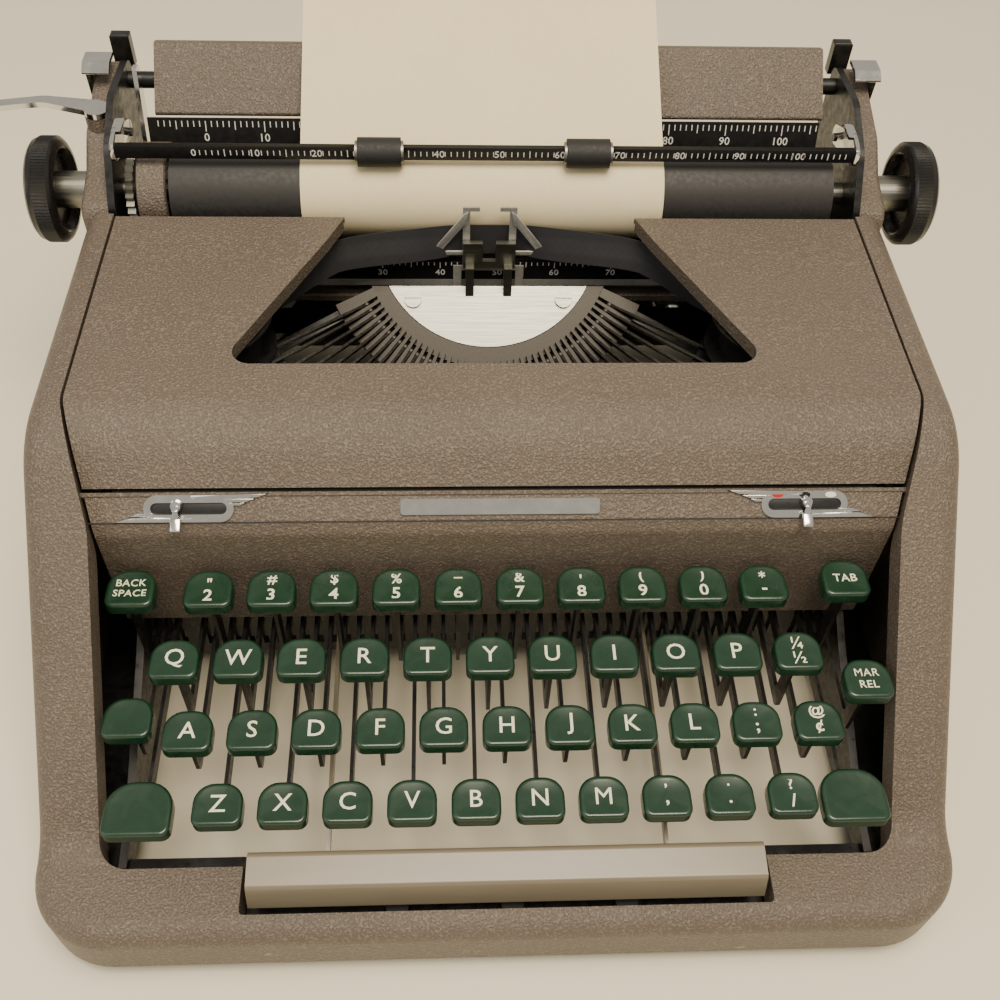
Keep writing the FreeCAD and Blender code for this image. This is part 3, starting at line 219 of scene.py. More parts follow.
# %% Metals and japanned steel
METALS = {
    # name: darker and lighter colour, metallic, roughness, mark size (mm), stretch, relief
    "chromium_plate": ("#c9c9c6", "#e6e6e4", 1.0, (0.08, 0.2), 5.0, (1.0, 1.0, 1.0), 0.03),
    "ground_bright_steel": ("#77766f", "#a3a298", 1.0, (0.28, 0.46), 0.7, (0.03, 1.0, 1.0), 0.25),
    # half metallic: its light grey diffuse colour is a painted sheen, standing in for the bright
    # reflection on the scale rail and the vibrator
    "nickel_with_painted_sheen": ("#9c9b95", "#c9c8c1", 0.55, (0.3, 0.45), 1.5, (1.0, 1.0, 1.0), 0.08),
    "zinc_plated_steel": ("#7d7c77", "#a3a29c", 1.0, (0.35, 0.55), 2.0, (1.0, 1.0, 1.0), 0.12),
    "oiled_dark_steel": ("#151413", "#3a3835", 1.0, (0.25, 0.4), 1.2, (1.0, 1.0, 1.0), 0.15),
    "black_japanned_steel": ("#0b0b0c", "#1b1a1a", 0.0, (0.25, 0.5), 2.5, (1.0, 1.0, 1.0), 0.1),
    "spring_brass": ("#a8823c", "#c9a558", 1.0, (0.25, 0.45), 3.0, (1.0, 1.0, 1.0), 0.08),
}
metals = {}
for name, (dark, light, metallic, rough, size, stretch, relief) in METALS.items():
    material, tree, shader, place = start_material(name, Metallic=metallic)
    turned = add(tree, "Mapping", {"Vector": place, "Scale": stretch})
    marks = add(tree, "TexNoise", {"Vector": turned.outputs["Vector"], "Scale": per_mm(size),
                                   "Detail": 5.0, "Roughness": 0.6})
    colour = add(tree, "Mix", {FACTOR: marks.outputs["Fac"], FIRST: linear(dark),
                               SECOND: linear(light)}, data_type="RGBA")
    dulled = add(tree, "MapRange", {"Value": marks.outputs["Fac"], "From Min": 0.3,
                                    "From Max": 0.7, "To Min": rough[0], "To Max": rough[1]})
    scored = add(tree, "Bump", {"Height": marks.outputs["Fac"], "Strength": relief,
                                "Distance": 0.1 * MM})
    tree.links.new(colour.outputs[BLENDED], shader.inputs["Base Color"])
    tree.links.new(dulled.outputs["Result"], shader.inputs["Roughness"])
    tree.links.new(scored.outputs["Normal"], shader.inputs["Normal"])
    metals[name] = material
print("made", ", ".join(metals))

# %% [markdown]
# Rubber, bakelite and scale black are all dark, and differ in gloss: rubber scatters light and
# gathers dust, so it looks grey at a slant; bakelite is polished; the scales are matt lacquer.
# The same kind of table serves.

# %% Dark rubbers, bakelite and lacquer
DARKS = {
    # name: darker and lighter colour, roughness, mark size (mm), relief
    "vulcanised_platen_rubber": ("#1d1c1b", "#2f2d2b", (0.5, 0.68), 1.6, 0.25),
    "black_rubber_and_painted_gap_shade": ("#141414", "#262524", (0.55, 0.75), 1.2, 0.3),
    "polished_bakelite": ("#0c0b0b", "#1c1a19", (0.22, 0.36), 4.0, 0.08),
    "matt_black_lacquer_and_painted_slot_shade": ("#0d0d0e", "#1c1c1d", (0.4, 0.6), 1.5, 0.12),
}
darks = {}
for name, (dark, light, rough, size, relief) in DARKS.items():
    material, tree, shader, place = start_material(name)
    bloom = add(tree, "TexNoise", {"Vector": place, "Scale": per_mm(size), "Detail": 6.0,
                                   "Roughness": 0.6})
    colour = add(tree, "Mix", {FACTOR: bloom.outputs["Fac"], FIRST: linear(dark),
                               SECOND: linear(light)}, data_type="RGBA")
    dulled = add(tree, "MapRange", {"Value": bloom.outputs["Fac"], "From Min": 0.3,
                                    "From Max": 0.7, "To Min": rough[0], "To Max": rough[1]})
    pitted = add(tree, "Bump", {"Height": bloom.outputs["Fac"], "Strength": relief,
                                "Distance": 0.12 * MM})
    tree.links.new(colour.outputs[BLENDED], shader.inputs["Base Color"])
    tree.links.new(dulled.outputs["Result"], shader.inputs["Roughness"])
    tree.links.new(pitted.outputs["Normal"], shader.inputs["Normal"])
    darks[name] = material
print("made", ", ".join(darks))

# %% [markdown]
# The ribbon is finely woven cotton soaked in ink. The thread is about 0.15 mm, too fine to show
# at this distance, so the weave is drawn at 0.5 mm. Two sets of bands, one for the warp and one
# for the weft, are multiplied into a grid of small pillows.

# %% Inked cotton ribbon
THREAD = 0.5
material, tree, shader, place = start_material("inked_cotton_ribbon", Roughness=0.62,
                                               Sheen_Weight=0.25, Sheen_Roughness=0.5)
warp = add(tree, "TexWave", {"Vector": place, "Scale": per_mm(THREAD) / 20, "Distortion": 0.3},
           bands_direction="Z")
weft = add(tree, "TexWave", {"Vector": place, "Scale": per_mm(THREAD) / 20, "Distortion": 0.3},
           bands_direction="X")
pillows = add(tree, "Math", {0: warp.outputs["Fac"], 1: weft.outputs["Fac"]},
              operation="MULTIPLY")
blot = add(tree, "TexNoise", {"Vector": place, "Scale": per_mm(7), "Detail": 3.0})
ink = add(tree, "Mix", {FACTOR: blot.outputs["Fac"], FIRST: linear("#0e0e11"),
                        SECOND: linear("#1d1d21")}, data_type="RGBA")
woven = add(tree, "Bump", {"Height": pillows.outputs[0], "Strength": 0.5, "Distance": 0.1 * MM})
tree.links.new(ink.outputs[BLENDED], shader.inputs["Base Color"])
tree.links.new(woven.outputs["Normal"], shader.inputs["Normal"])
ribbon_cloth = material
print("made", material.name)

# %% [markdown]
# Typing paper is pressed from wood fibre. It is matt, with a faint clouding where the fibre lies
# thicker, and it yellows with age. Light passes through a single sheet, which is why it keeps
# glowing on its shaded side; a little subsurface scattering gives that.

# %% Aged typing paper
material, tree, shader, place = start_material("aged_typing_paper", Roughness=0.85,
                                               Subsurface_Weight=0.12, Subsurface_Scale=1.0 * MM)
fibre = add(tree, "TexNoise", {"Vector": place, "Scale": per_mm(1.4), "Detail": 8.0,
                               "Roughness": 0.7})
clouding = add(tree, "TexNoise", {"Vector": place, "Scale": per_mm(30), "Detail": 2.0})
sheet = add(tree, "Mix", {FACTOR: clouding.outputs["Fac"], FIRST: linear("#e6d6ae"),
                          SECOND: linear("#efe2c0")}, data_type="RGBA")
fibrous = add(tree, "Mix", {FACTOR: fibre.outputs["Fac"], FIRST: sheet.outputs[BLENDED],
                            SECOND: linear("#dccba2")}, data_type="RGBA")
tooth = add(tree, "Bump", {"Height": fibre.outputs["Fac"], "Strength": 0.15,
                           "Distance": 0.05 * MM})
tree.links.new(fibrous.outputs[BLENDED], shader.inputs["Base Color"])
tree.links.new(tooth.outputs["Normal"], shader.inputs["Normal"])
typing_paper = material
print("made", material.name)

# %% [markdown]
# Every part that the frame shows gets one of these finishes. The record already says what each
# part is made of, so one table from its slot names to the finishes covers the whole machine.

# %% Finish the frame's own parts
FINISHES = {
    "crinkle_paint": crinkle_enamel,
    "key_green": green_plastic,
    "bar_olive": olive_plastic,
    "black_steel": metals["black_japanned_steel"],
    "bright_steel": metals["ground_bright_steel"],
    "grey_steel": metals["zinc_plated_steel"],
    "chrome_plate": metals["chromium_plate"],
    "platen_rubber": darks["vulcanised_platen_rubber"],
    "rubber_black": darks["black_rubber_and_painted_gap_shade"],
    "knob_black": darks["polished_bakelite"],
    "ribbon_black": ribbon_cloth,
    "paper_cream": typing_paper,
    "brass": metals["spring_brass"],
}
# the type bars and their segment are bright steel gone dark with oil and ink
OILED = ("typebars", "typebar_h", "segment")
# the ribbon vibrator takes the half-metallic nickel, whose light diffuse colour is a painted sheen
for part in frame["record"]["subparts"]:
    surface = nodes[part["node"]].data.materials
    surface.clear()
    surface.append(metals["oiled_dark_steel"] if part["node"] in OILED
                   else metals["nickel_with_painted_sheen"] if part["node"] == "ribbon_vibrator"
                   else FINISHES[part["material_slot"]])
print("finished", len(nodes), "parts with", len(FINISHES), "materials")

# %% [markdown]
# Helpers for new pieces. A bmesh collects the shape, `stamp` repeats a ready mesh in it, and
# `finish_piece` turns it into an object that rides on one of the frame's moving bodies.

# %% Piece helpers


def stamp(bm, mesh, matrix):
    """Adds a copy of a mesh to the bmesh, moved by the matrix. Returns its new points."""
    before = set(bm.verts)
    bm.from_mesh(mesh)
    new = [v for v in bm.verts if v not in before]
    bmesh.ops.transform(bm, matrix=matrix, verts=new)
    return new


def as_mesh(bm, name):
    """The bmesh as a mesh; the bmesh is used up."""
    mesh = bpy.data.meshes.new(name)
    bm.to_mesh(mesh)
    bm.free()
    return mesh


def thicken(bm, rise):
    """Extrudes a flat bmesh by rise along Z, and keeps its own face as the other side."""
    made = bmesh.ops.extrude_face_region(bm, geom=bm.faces[:], use_keep_orig=True)
    fresh = [v for v in made["geom"] if isinstance(v, bmesh.types.BMVert)]
    bmesh.ops.translate(bm, vec=(0, 0, rise), verts=fresh)


def finish_piece(name, bm, material, body, slot, *stands_for, smooth=40.0):
    """The bmesh as a piece that rides on a body and stands for some of the frame's parts."""
    mesh = as_mesh(bm, name)
    mesh.materials.append(material)
    mesh.polygons.foreach_set("use_smooth", [True] * len(mesh.polygons))
    mesh.set_sharp_from_angle(angle=math.radians(smooth))
    piece = bpy.data.objects.new(name, mesh)
    scene.collection.objects.link(piece)
    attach(piece, body)
    if stands_for:
        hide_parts(*stands_for)
    return piece


# %% [markdown]
# A key cap starts as a flat square. Bevelling its corners, little at the front and a lot at the
# back, gives the tombstone outline; extruding gives the body; rings inset in the top are let
# down to make the finger dish.

# %% Key caps
CAP_SIZE = (14.8 * MM, 13.4 * MM)
SHIFT_CAP_SIZE = (20.0 * MM, 17.0 * MM)
CAP_THICK = 4.5 * MM
CAP_EDGE = 1.0 * MM
FRONT_CORNER = 2.8 * MM
BACK_CORNER_SHARE = 0.41  # of the cap's width, so that the back is nearly a half circle
DISH = 0.45 * MM
RINGS = (0.92, 0.82, 0.68, 0.52, 0.34, 0.16)


def cap_mesh(width, depth):
    """A dished key cap with the middle of its top at the origin."""
    bm = bmesh.new()
    bmesh.ops.create_grid(bm, x_segments=1, y_segments=1, size=0.5)
    bmesh.ops.scale(bm, vec=(width, depth, 1.0), verts=bm.verts)
    corners = [(v.co.y > 0, v) for v in bm.verts]
    for is_back, reach in ((True, width * BACK_CORNER_SHARE), (False, FRONT_CORNER)):
        chosen = [v for back, v in corners if back is is_back]
        bmesh.ops.bevel(bm, geom=chosen, offset=reach, segments=7, profile=0.5,
                        affect="VERTICES", material=-1)
    thicken(bm, -CAP_THICK)
    bmesh.ops.recalc_face_normals(bm, faces=bm.faces)
    rim = [e for e in bm.edges if all(abs(v.co.z) < 1e-7 for v in e.verts)]
    bmesh.ops.bevel(bm, geom=rim, offset=CAP_EDGE, segments=4, profile=0.5, affect="EDGES",
                    material=-1)
    top = max(bm.faces, key=lambda f: (f.normal.z > 0.9) * f.calc_area())
    outline = [v.co.copy() for v in top.verts]
    for ring in RINGS:
        bmesh.ops.inset_region(bm, faces=[top], thickness=0.02 * MM)
        for v, start in zip(top.verts, outline):
            v.co = Vector((start.x * ring, start.y * ring, -DISH * (1 - ring * ring)))
    return as_mesh(bm, "cap")


common_cap = cap_mesh(*CAP_SIZE)
shift_cap = cap_mesh(*SHIFT_CAP_SIZE)
print("a key cap has", len(common_cap.polygons), "faces")

# %% [markdown]
# The frame's rows hold caps and levers in one part each. To swap only the caps, a copy of the
# part is welded, and each loose shell that is short from front to back, which is a cap, is
# deleted from it. What is left are the levers, which keep their exact shape.

# %% Levers without their caps
LONGEST_CAP = 30 * MM  # levers run much further back than this


def shells(bm):
    """The bmesh's loose shells, each as a list of points."""
    seen, found = set(), []
    for start in bm.verts:
        if start in seen:
            continue
        seen.add(start)
        shell, edge = [], [start]
        while edge:
            v = edge.pop()
            shell.append(v)
            for e in v.link_edges:
                w = e.other_vert(v)
                if w not in seen:
                    seen.add(w)
                    edge.append(w)
        found.append(shell)
    return found


def levers_of(node):
    """The levers of a keyboard part, welded, without its caps."""
    bm = bmesh.new()
    bm.from_mesh(nodes[node].data)
    bmesh.ops.remove_doubles(bm, verts=bm.verts, dist=1e-6)
    for shell in shells(bm):
        depth = [v.co.y for v in shell]
        if max(depth) - min(depth) < LONGEST_CAP:
            bmesh.ops.delete(bm, geom=shell, context="VERTS")
    return bm


# %% [markdown]
# Legends are text objects turned into thin meshes. A letter takes the dish's height point by
# point, so that it lies in the cap's surface the way an inlaid letter does.

# %% Lettering
CAPITAL_SHARE = 0.73  # a capital's height in this font, as a share of its size
LETTER_THICK = 0.03 * MM
LETTER_RISE = 0.04 * MM
THIN, SLIM, PLAIN, FULL, WIDE_STROKE = (w * MM for w in (0.0, 0.03, 0.04, 0.08, 0.10))


def word_mesh(word, height, weight, spread=1.0):
    """A word as a thin closed mesh, its letters this high, its middle at the origin."""
    curve = bpy.data.curves.new("word", "FONT")
    curve.body = word
    curve.size = height / CAPITAL_SHARE
    # a widened M closes up at its inner corners, so words with one keep the font's own weight
    curve.offset = THIN if "M" in word else weight
    curve.extrude = LETTER_THICK
    curve.resolution_u = 3
    curve.space_character = spread
    holder = bpy.data.objects.new("word", curve)
    scene.collection.objects.link(holder)
    mesh = bpy.data.meshes.new_from_object(
        holder.evaluated_get(bpy.context.evaluated_depsgraph_get()))
    bpy.data.objects.remove(holder)
    bpy.data.curves.remove(curve)
    xs = [v.co.x for v in mesh.vertices]
    ys = [v.co.y for v in mesh.vertices]
    mesh.transform(Matrix.Translation((-(min(xs) + max(xs)) / 2, -(min(ys) + max(ys)) / 2, 0)))
    return mesh


def inlay(bm, word, height, cap, shift, weight=PLAIN, spread=1.0):
    """Letters a word into a cap whose top's middle is at cap, moved by shift from there."""
    points = stamp(bm, word_mesh(word, height, weight, spread), Matrix.Translation((*shift, 0)))
    for v in points:
        outward = (2 * v.co.x / CAP_SIZE[0]) ** 2 + (2 * v.co.y / CAP_SIZE[1]) ** 2
        v.co.z += LETTER_RISE - DISH * max(0.0, 1 - outward)
        v.co += cap


# %% [markdown]
# The four rows. Each row's table gives its letters; two letters on a key are stacked, the
# shifted one behind. Row sizes repeat the engineering model's: pitch, first key, and each row's
# offset, place and height.

# %% The four rows of keys
PITCH = 19.05
FIRST_KEY_X = -98.5
ROWS = {
    # row: offset in pitches, Y, top Z, legends
    "number_row_keys": (0.5, 97.8, 77.3, "\"2 #3 $4 %5 _6 &7 '8 (9 )0 *-"),
    "upper_row_keys": (0.0, 79.0, 67.6, "Q W E R T Y U I O P ¼½"),
    "home_row_keys": (0.25, 60.0, 58.0, "A S D F G H J K L :; @¢"),
    "lower_row_keys": (0.75, 41.0, 48.2, "Z X C V B N M ,, .. ?/"),
}
STRUCK = ("home_row_keys", "H", "key_h")


def letter_key(bm, legend, cap):
    """The one or two letters of a key."""
    if len(legend) == 1:
        inlay(bm, legend, 5.6 * MM, cap, (0, 0.2 * MM))
        return
    upper, lower = legend
    if upper == "¼":
        inlay(bm, upper, 4.4 * MM, cap, (0, 2.7 * MM))
        inlay(bm, lower, 4.4 * MM, cap, (0, -2.6 * MM))
        return
    inlay(bm, upper, 3.6 * MM, cap, (0, 3.0 * MM), FULL)
    inlay(bm, lower, 4.3 * MM, cap, (0, -2.4 * MM), WIDE_STROKE)


def key_pieces(body, node, keys, cap):
    """Caps, levers and legends of one moving keyboard part. keys: (place, legend) pairs."""
    caps, letters = bmesh.new(), bmesh.new()
    for place, legend in keys:
        stamp(caps, cap, Matrix.Translation(place))
        if callable(legend):
            legend(letters, place)
        elif legend:
            letter_key(letters, legend, place)
    name = node.replace("_keys", "").replace("_key", "")
    finish_piece(name + "_caps", caps, green_plastic, body, "key_green", node)
    finish_piece(name + "_levers", levers_of(node), metals["black_japanned_steel"], body,
                 "black_steel", node, smooth=30.0)
    if letters.verts:
        finish_piece(name + "_legends", letters, cream_plastic, body, "paper_cream")
    else:
        letters.free()


for node, (offset, y, top, legends) in ROWS.items():
    keys = [(at(FIRST_KEY_X + (offset + i) * PITCH, y, top), legend)
            for i, legend in enumerate(legends.split())]
    if node == STRUCK[0]:
        struck = [key for key in keys if key[1] == STRUCK[1]]
        keys = [key for key in keys if key[1] != STRUCK[1]]
        key_pieces(STRUCK[2], STRUCK[2], struck, common_cap)
    key_pieces(node, node, keys, common_cap)
    print(node, "has", len(keys), "caps")

# %% [markdown]
# The keys at the sides do a job instead of printing. Their words are small, and the shift keys
# and the lock are blank.

# %% The function keys
SPACED = 1.06  # letter spacing of the small words


def two_lines(upper, lower, height):
    """A legend of two short words, one behind the other."""
    def draw(bm, cap):
        inlay(bm, upper, height, cap, (0, 0.75 * height), SLIM, SPACED)
        inlay(bm, lower, height, cap, (0, -0.75 * height), SLIM, SPACED)
    return draw


def one_line(word, height):
    """A legend of one short word."""
    def draw(bm, cap):
        inlay(bm, word, height, cap, (0, 0), PLAIN, SPACED)
    return draw


FUNCTION_KEYS = {
    # node: cap centre, cap, legend
    "shift_left_key": ((-107.3, 40.2, 48.0), shift_cap, None),
    "shift_right_key": ((106.0, 40.2, 48.0), shift_cap, None),
    "shift_lock_key": ((-112.4, 65.2, 57.0), common_cap, None),
    "backspace_key": ((-112.6, 98.5, 77.0), common_cap, two_lines("BACK", "SPACE", 2.5 * MM)),
    "tab_key": ((108.2, 98.5, 78.5), common_cap, one_line("TAB", 2.9 * MM)),
    "margin_release_key": ((112.4, 70.0, 65.5), common_cap, two_lines("MAR", "REL", 2.7 * MM)),
}
for node, (place, cap, legend) in FUNCTION_KEYS.items():
    key_pieces(node, node, [(at(*place), legend)], cap)
print("function keys:", len(FUNCTION_KEYS))

# %% [markdown]
# Divided scales. Elite type puts twelve letters in an inch, so the divisions are a twelfth of
# an inch apart. They are printed in white on the black bars: thin slabs for the ticks, longer
# at every fifth and tenth, and a number at every tenth.

# %% Scale printing
ELITE = 25.4 / 12
TICK_WIDTH, TICK_THICK = 0.34, 0.06
FIFTH_SHARE, UNIT_SHARE = 0.8, 0.55  # of a tenth's tick length


def white_print():
    """White marking paint: dead matt, a little uneven where it was wiped into the cuts."""
    material, tree, shader, place = start_material("wiped_white_paint", Roughness=0.6)
    thin = add(tree, "TexNoise", {"Vector": place, "Scale": per_mm(1.0), "Detail": 3.0})
    white = add(tree, "Mix", {FACTOR: thin.outputs["Fac"], FIRST: linear("#b9b7ae"),
                              SECOND: linear("#efeee8")}, data_type="RGBA")
    tree.links.new(white.outputs[BLENDED], shader.inputs["Base Color"])
    return material


marking_paint = white_print()


def scale_marks(zero_x, line, up, span, tick, digit, gap, hang):
    """Ticks and numbers on a face: line is a point (Y, Z) on the line that they share, up the
    face's slope. Ticks hang from the line (1) or are centred on it (0.5); centred ones give
    way to the numbers."""
    bm = bmesh.new()
    rise = Vector((0, *up)).normalized()
    out = Vector((1, 0, 0)).cross(rise)
    face = Matrix((Vector((1, 0, 0)), rise, out)).transposed().to_4x4()
    for step in range(span[0], span[1] + 1):
        length = tick * (1.0 if step % 10 == 0 else FIFTH_SHARE if step % 5 == 0
                         else UNIT_SHARE)
        x = zero_x + step * ELITE
        where = Matrix.Translation(at(x, *line)) @ face
        slab = Matrix.Diagonal((TICK_WIDTH * MM, length * MM, TICK_THICK * MM, 1.0))
        middle = Matrix.Translation((0, length * MM * (0.5 - hang), 0))
        if step % 10 or hang == 1:
            bmesh.ops.create_cube(bm, size=1.0, matrix=where @ middle @ slab)
        if step % 10 == 0:
            number = word_mesh(str(step), digit * MM, SLIM, 1.05)
            stamp(bm, number, where @ Matrix.Translation((0, (gap - digit / 2) * MM, 0)))
    return bm


# %% [markdown]
# Three bars carry a scale. The bail's ticks are centred on the bar; the other two hang their
# ticks from one line, with the numbers below. The paper scale leans back with its plate.

# %% Mark the bail, the paper scale and the carriage scale
bail = scale_marks(-102.5, (241.37, 133.0), (0, 1), (0, 108), 3.4, 2.7, 1.35, 0.5)
finish_piece("bail_marks", bail, marking_paint, "bail", "paper_cream")
rear = scale_marks(-102.3, (266.82, 128.86), (3.2, 10.7), (-8, 106), 3.8, 2.9, -4.4, 1)
finish_piece("paper_scale_marks", rear, marking_paint, "carriage", "paper_cream")
front = scale_marks(-102.5, (229.96, 94.7), (0, 1), (0, 98), 2.8, 2.6, -3.4, 1)
finish_piece("carriage_scale_marks", front, marking_paint, "carriage", "paper_cream")
print("scales marked every", round(ELITE, 3), "mm")

# %% [markdown]
# The nameplate strip lies on a slope, so pieces for it are drawn flat, X across and Y up the
# strip, and one matrix lays them on it. An outline is a closed chain of points filled with one
# face, thickened, and bevelled so that its edge catches the light.

# %% Flat shapes for the strip
STRIP_MIDDLE = (111.3, 99.3)
STRIP_SLOPE = Vector((0.0, 6.0, 6.2)).normalized()
strip_out = Vector((1, 0, 0)).cross(STRIP_SLOPE)
on_strip = (Matrix.Translation(at(0, *STRIP_MIDDLE))
            @ Matrix((Vector((1, 0, 0)), STRIP_SLOPE, strip_out)).transposed().to_4x4())


def flat_plate(outline, low, high, round_edge):
    """A plate from an outline in millimetres, between two heights, with a softened rim."""
    bm = bmesh.new()
    points = [bm.verts.new((x * MM, y * MM, high * MM)) for x, y in outline]
    bm.faces.new(points)
    thicken(bm, (low - high) * MM)
    bmesh.ops.recalc_face_normals(bm, faces=bm.faces)
    rim = [e for e in bm.edges if all(abs(v.co.z - high * MM) < 1e-7 for v in e.verts)]
    bmesh.ops.bevel(bm, geom=rim, offset=round_edge * MM, segments=2, profile=0.5,
                    affect="EDGES", material=-1, clamp_overlap=True)
    return as_mesh(bm, "plate")


def arc(centre, radius, start, stop, steps):
    """Points on an arc, in degrees, as part of an outline."""
    turns = [math.radians(start + (stop - start) * i / steps) for i in range(steps + 1)]
    return [(centre[0] + radius * math.cos(t), centre[1] + radius * math.sin(t)) for t in turns]


# %% [markdown]
# Each slot has a chromed plate: a loop round the slot, and feathers that run out from two of
# its corners, three at the top towards the middle and two at the bottom towards the side. The
# shapes are drawn for the left slot and turned over for the right one.

# %% The winged slot plates
LOOP_HALF, LOOP_THICK = 4.1, 0.8
SLOT_HALF = 1.75
FEATHER_THICK, FEATHER_EDGE = 0.95, 0.18
LOOP = (arc((-101.9, 0.0), LOOP_HALF, 90, 270, 12)
        + arc((-83.5, 0.0), LOOP_HALF, 270, 450, 12))
SLOT = (arc((-102.2, 0.0), SLOT_HALF, 90, 270, 8)
        + arc((-83.2, 0.0), SLOT_HALF, 270, 450, 8))
FEATHERS = (
    [(-92.0, 4.1), (-92.0, 2.9), (-80.0, 2.9), (-75.5, 3.0), (-72.0, 3.4), (-69.0, 4.4)],
    [(-82.5, 2.7), (-81.5, 1.9), (-75.5, 2.0), (-73.0, 2.9), (-80.5, 2.9)],
    [(-81.0, 1.7), (-80.5, 0.9), (-77.5, 0.9), (-75.6, 1.8)],
    [(-92.0, -4.1), (-92.0, -2.9), (-104.0, -2.6), (-109.5, -2.6), (-115.0, -4.1)],
    [(-104.0, -2.4), (-103.0, -1.2), (-107.5, -1.3), (-110.5, -2.4)],
)


# the drawn shapes as they are for the left, and turned over for the right
SIDES = [Matrix.Diagonal((turn, 1, 1, 1)) for turn in (1, -1)]


def slotted_loop():
    """The loop round a slot, as a flat plate with a hole."""
    bm = bmesh.new()
    edges = []
    for outline in (LOOP, SLOT):
        chain = [bm.verts.new((x * MM, y * MM, LOOP_THICK * MM)) for x, y in outline]
        edges += [bm.edges.new((v, w)) for v, w in zip(chain, chain[1:] + chain[:1])]
    bmesh.ops.triangle_fill(bm, edges=edges, use_beauty=True, normal=(0, 0, 1))
    bmesh.ops.dissolve_limit(bm, angle_limit=0.01, verts=bm.verts, edges=bm.edges)
    thicken(bm, -LOOP_THICK * MM)
    return as_mesh(bm, "loop")


bm = bmesh.new()
for turned_over in SIDES:
    stamp(bm, slotted_loop(), on_strip @ turned_over)
    for feather in FEATHERS:
        stamp(bm, flat_plate(feather, 0.0, FEATHER_THICK, FEATHER_EDGE), on_strip @ turned_over)
bmesh.ops.recalc_face_normals(bm, faces=bm.faces)
finish_piece("winged_slot_plates", bm, metals["chromium_plate"], "base", "chrome_plate",
             "slot_plates", smooth=35.0)

# a thin dark sheet inside each slot's outline: painted shade where the slot opens into the dark
# works
bm = bmesh.new()
for turned_over in SIDES:
    stamp(bm, flat_plate(SLOT, 0.0, 0.3, 0.05), on_strip @ turned_over)
bmesh.ops.recalc_face_normals(bm, faces=bm.faces)
finish_piece("slot_shadows", bm, darks["matt_black_lacquer_and_painted_slot_shade"], "base", "black_steel")

# %% [markdown]
# A lip and a black strip close most of the gap under the ribbon cover, which would show the works
# inside; the black strip is painted shade, so that the gap reads dark, and a thin black line at
# the strip's foot is painted shade in the crease there. The front scale's lower edge is a bright
# rail, and the vibrator has a wing on each side of its forks that guides the ribbon.

# %% Lip, painted shade in the gap and at the strip's foot, rail and wings
SEAM_SHADE = (262.0, 0.35, 0.3)  # length, width and thickness
SEAM_SHADE_DOWN = 4.35
WINGS_Y, WING_THICK, WING_EDGE = 228.5, 0.6, 0.12
WING = (
    (-7.6, 118.5), (-9.2, 117.5), (-20.5, 101.8), (-21.0, 99.6), (-7.6, 99.6), (-7.6, 101.4),
    (-17.4, 101.4), (-9.4, 112.6), (-8.6, 112.6),
)


def bar_between(bm, half_length, near, far):
    """A bar along X from one (Y, Z) corner to another, in millimetres."""
    middle = at(0, (near[0] + far[0]) / 2, (near[1] + far[1]) / 2)
    size = (2 * half_length * MM, (far[0] - near[0]) * MM, (far[1] - near[1]) * MM)
    bmesh.ops.create_cube(bm, size=1.0,
                          matrix=Matrix.Translation(middle) @ Matrix.Diagonal((*size, 1.0)))


bm = bmesh.new()
bar_between(bm, 129.0, (113.6, 101.6), (115.0, 102.35))
finish_piece("strip_lip", bm, crinkle_enamel, "base", "crinkle_paint")
# a black strip inside the gap under the cover and a thin black line along the strip's foot: painted
# shade where the gap and the crease are dark
bm = bmesh.new()
bar_between(bm, 115.5, (114.7, 98.0), (118.0, 101.6))
bmesh.ops.create_cube(bm, size=1.0,
                      matrix=on_strip @ Matrix.Translation((0, -SEAM_SHADE_DOWN * MM, 0))
                      @ Matrix.Diagonal((*[size * MM for size in SEAM_SHADE], 1.0)))
finish_piece("strip_gap_and_seam_painted_shade", bm, darks["black_rubber_and_painted_gap_shade"], "base", "rubber_black")

# the rail's nickel is half metallic, and its light diffuse colour is a painted sheen standing in
# for a bright reflection
bm = bmesh.new()
bar_between(bm, 109.0, (229.9, 83.8), (230.9, 86.6))
finish_piece("carriage_scale_rail", bm, metals["nickel_with_painted_sheen"], "carriage", "chrome_plate")

# the wings take the same nickel, with its painted sheen
bm = bmesh.new()
for turned_over in SIDES:
    stamp(bm, flat_plate(WING, 0.0, WING_THICK, WING_EDGE),
          Matrix.Translation(at(0, WINGS_Y, 0)) @ turned_over
          @ Matrix.Rotation(math.radians(90), 4, "X"))
bmesh.ops.recalc_face_normals(bm, faces=bm.faces)
finish_piece("vibrator_wings", bm, metals["nickel_with_painted_sheen"], "vibrator", "grey_steel")

# %% [markdown]
# Three enamelled spots over the right slot show the ribbon settings: red, black, and white for
# stencils. Vitreous enamel is glass fused on metal: glossy, and only faintly mottled.

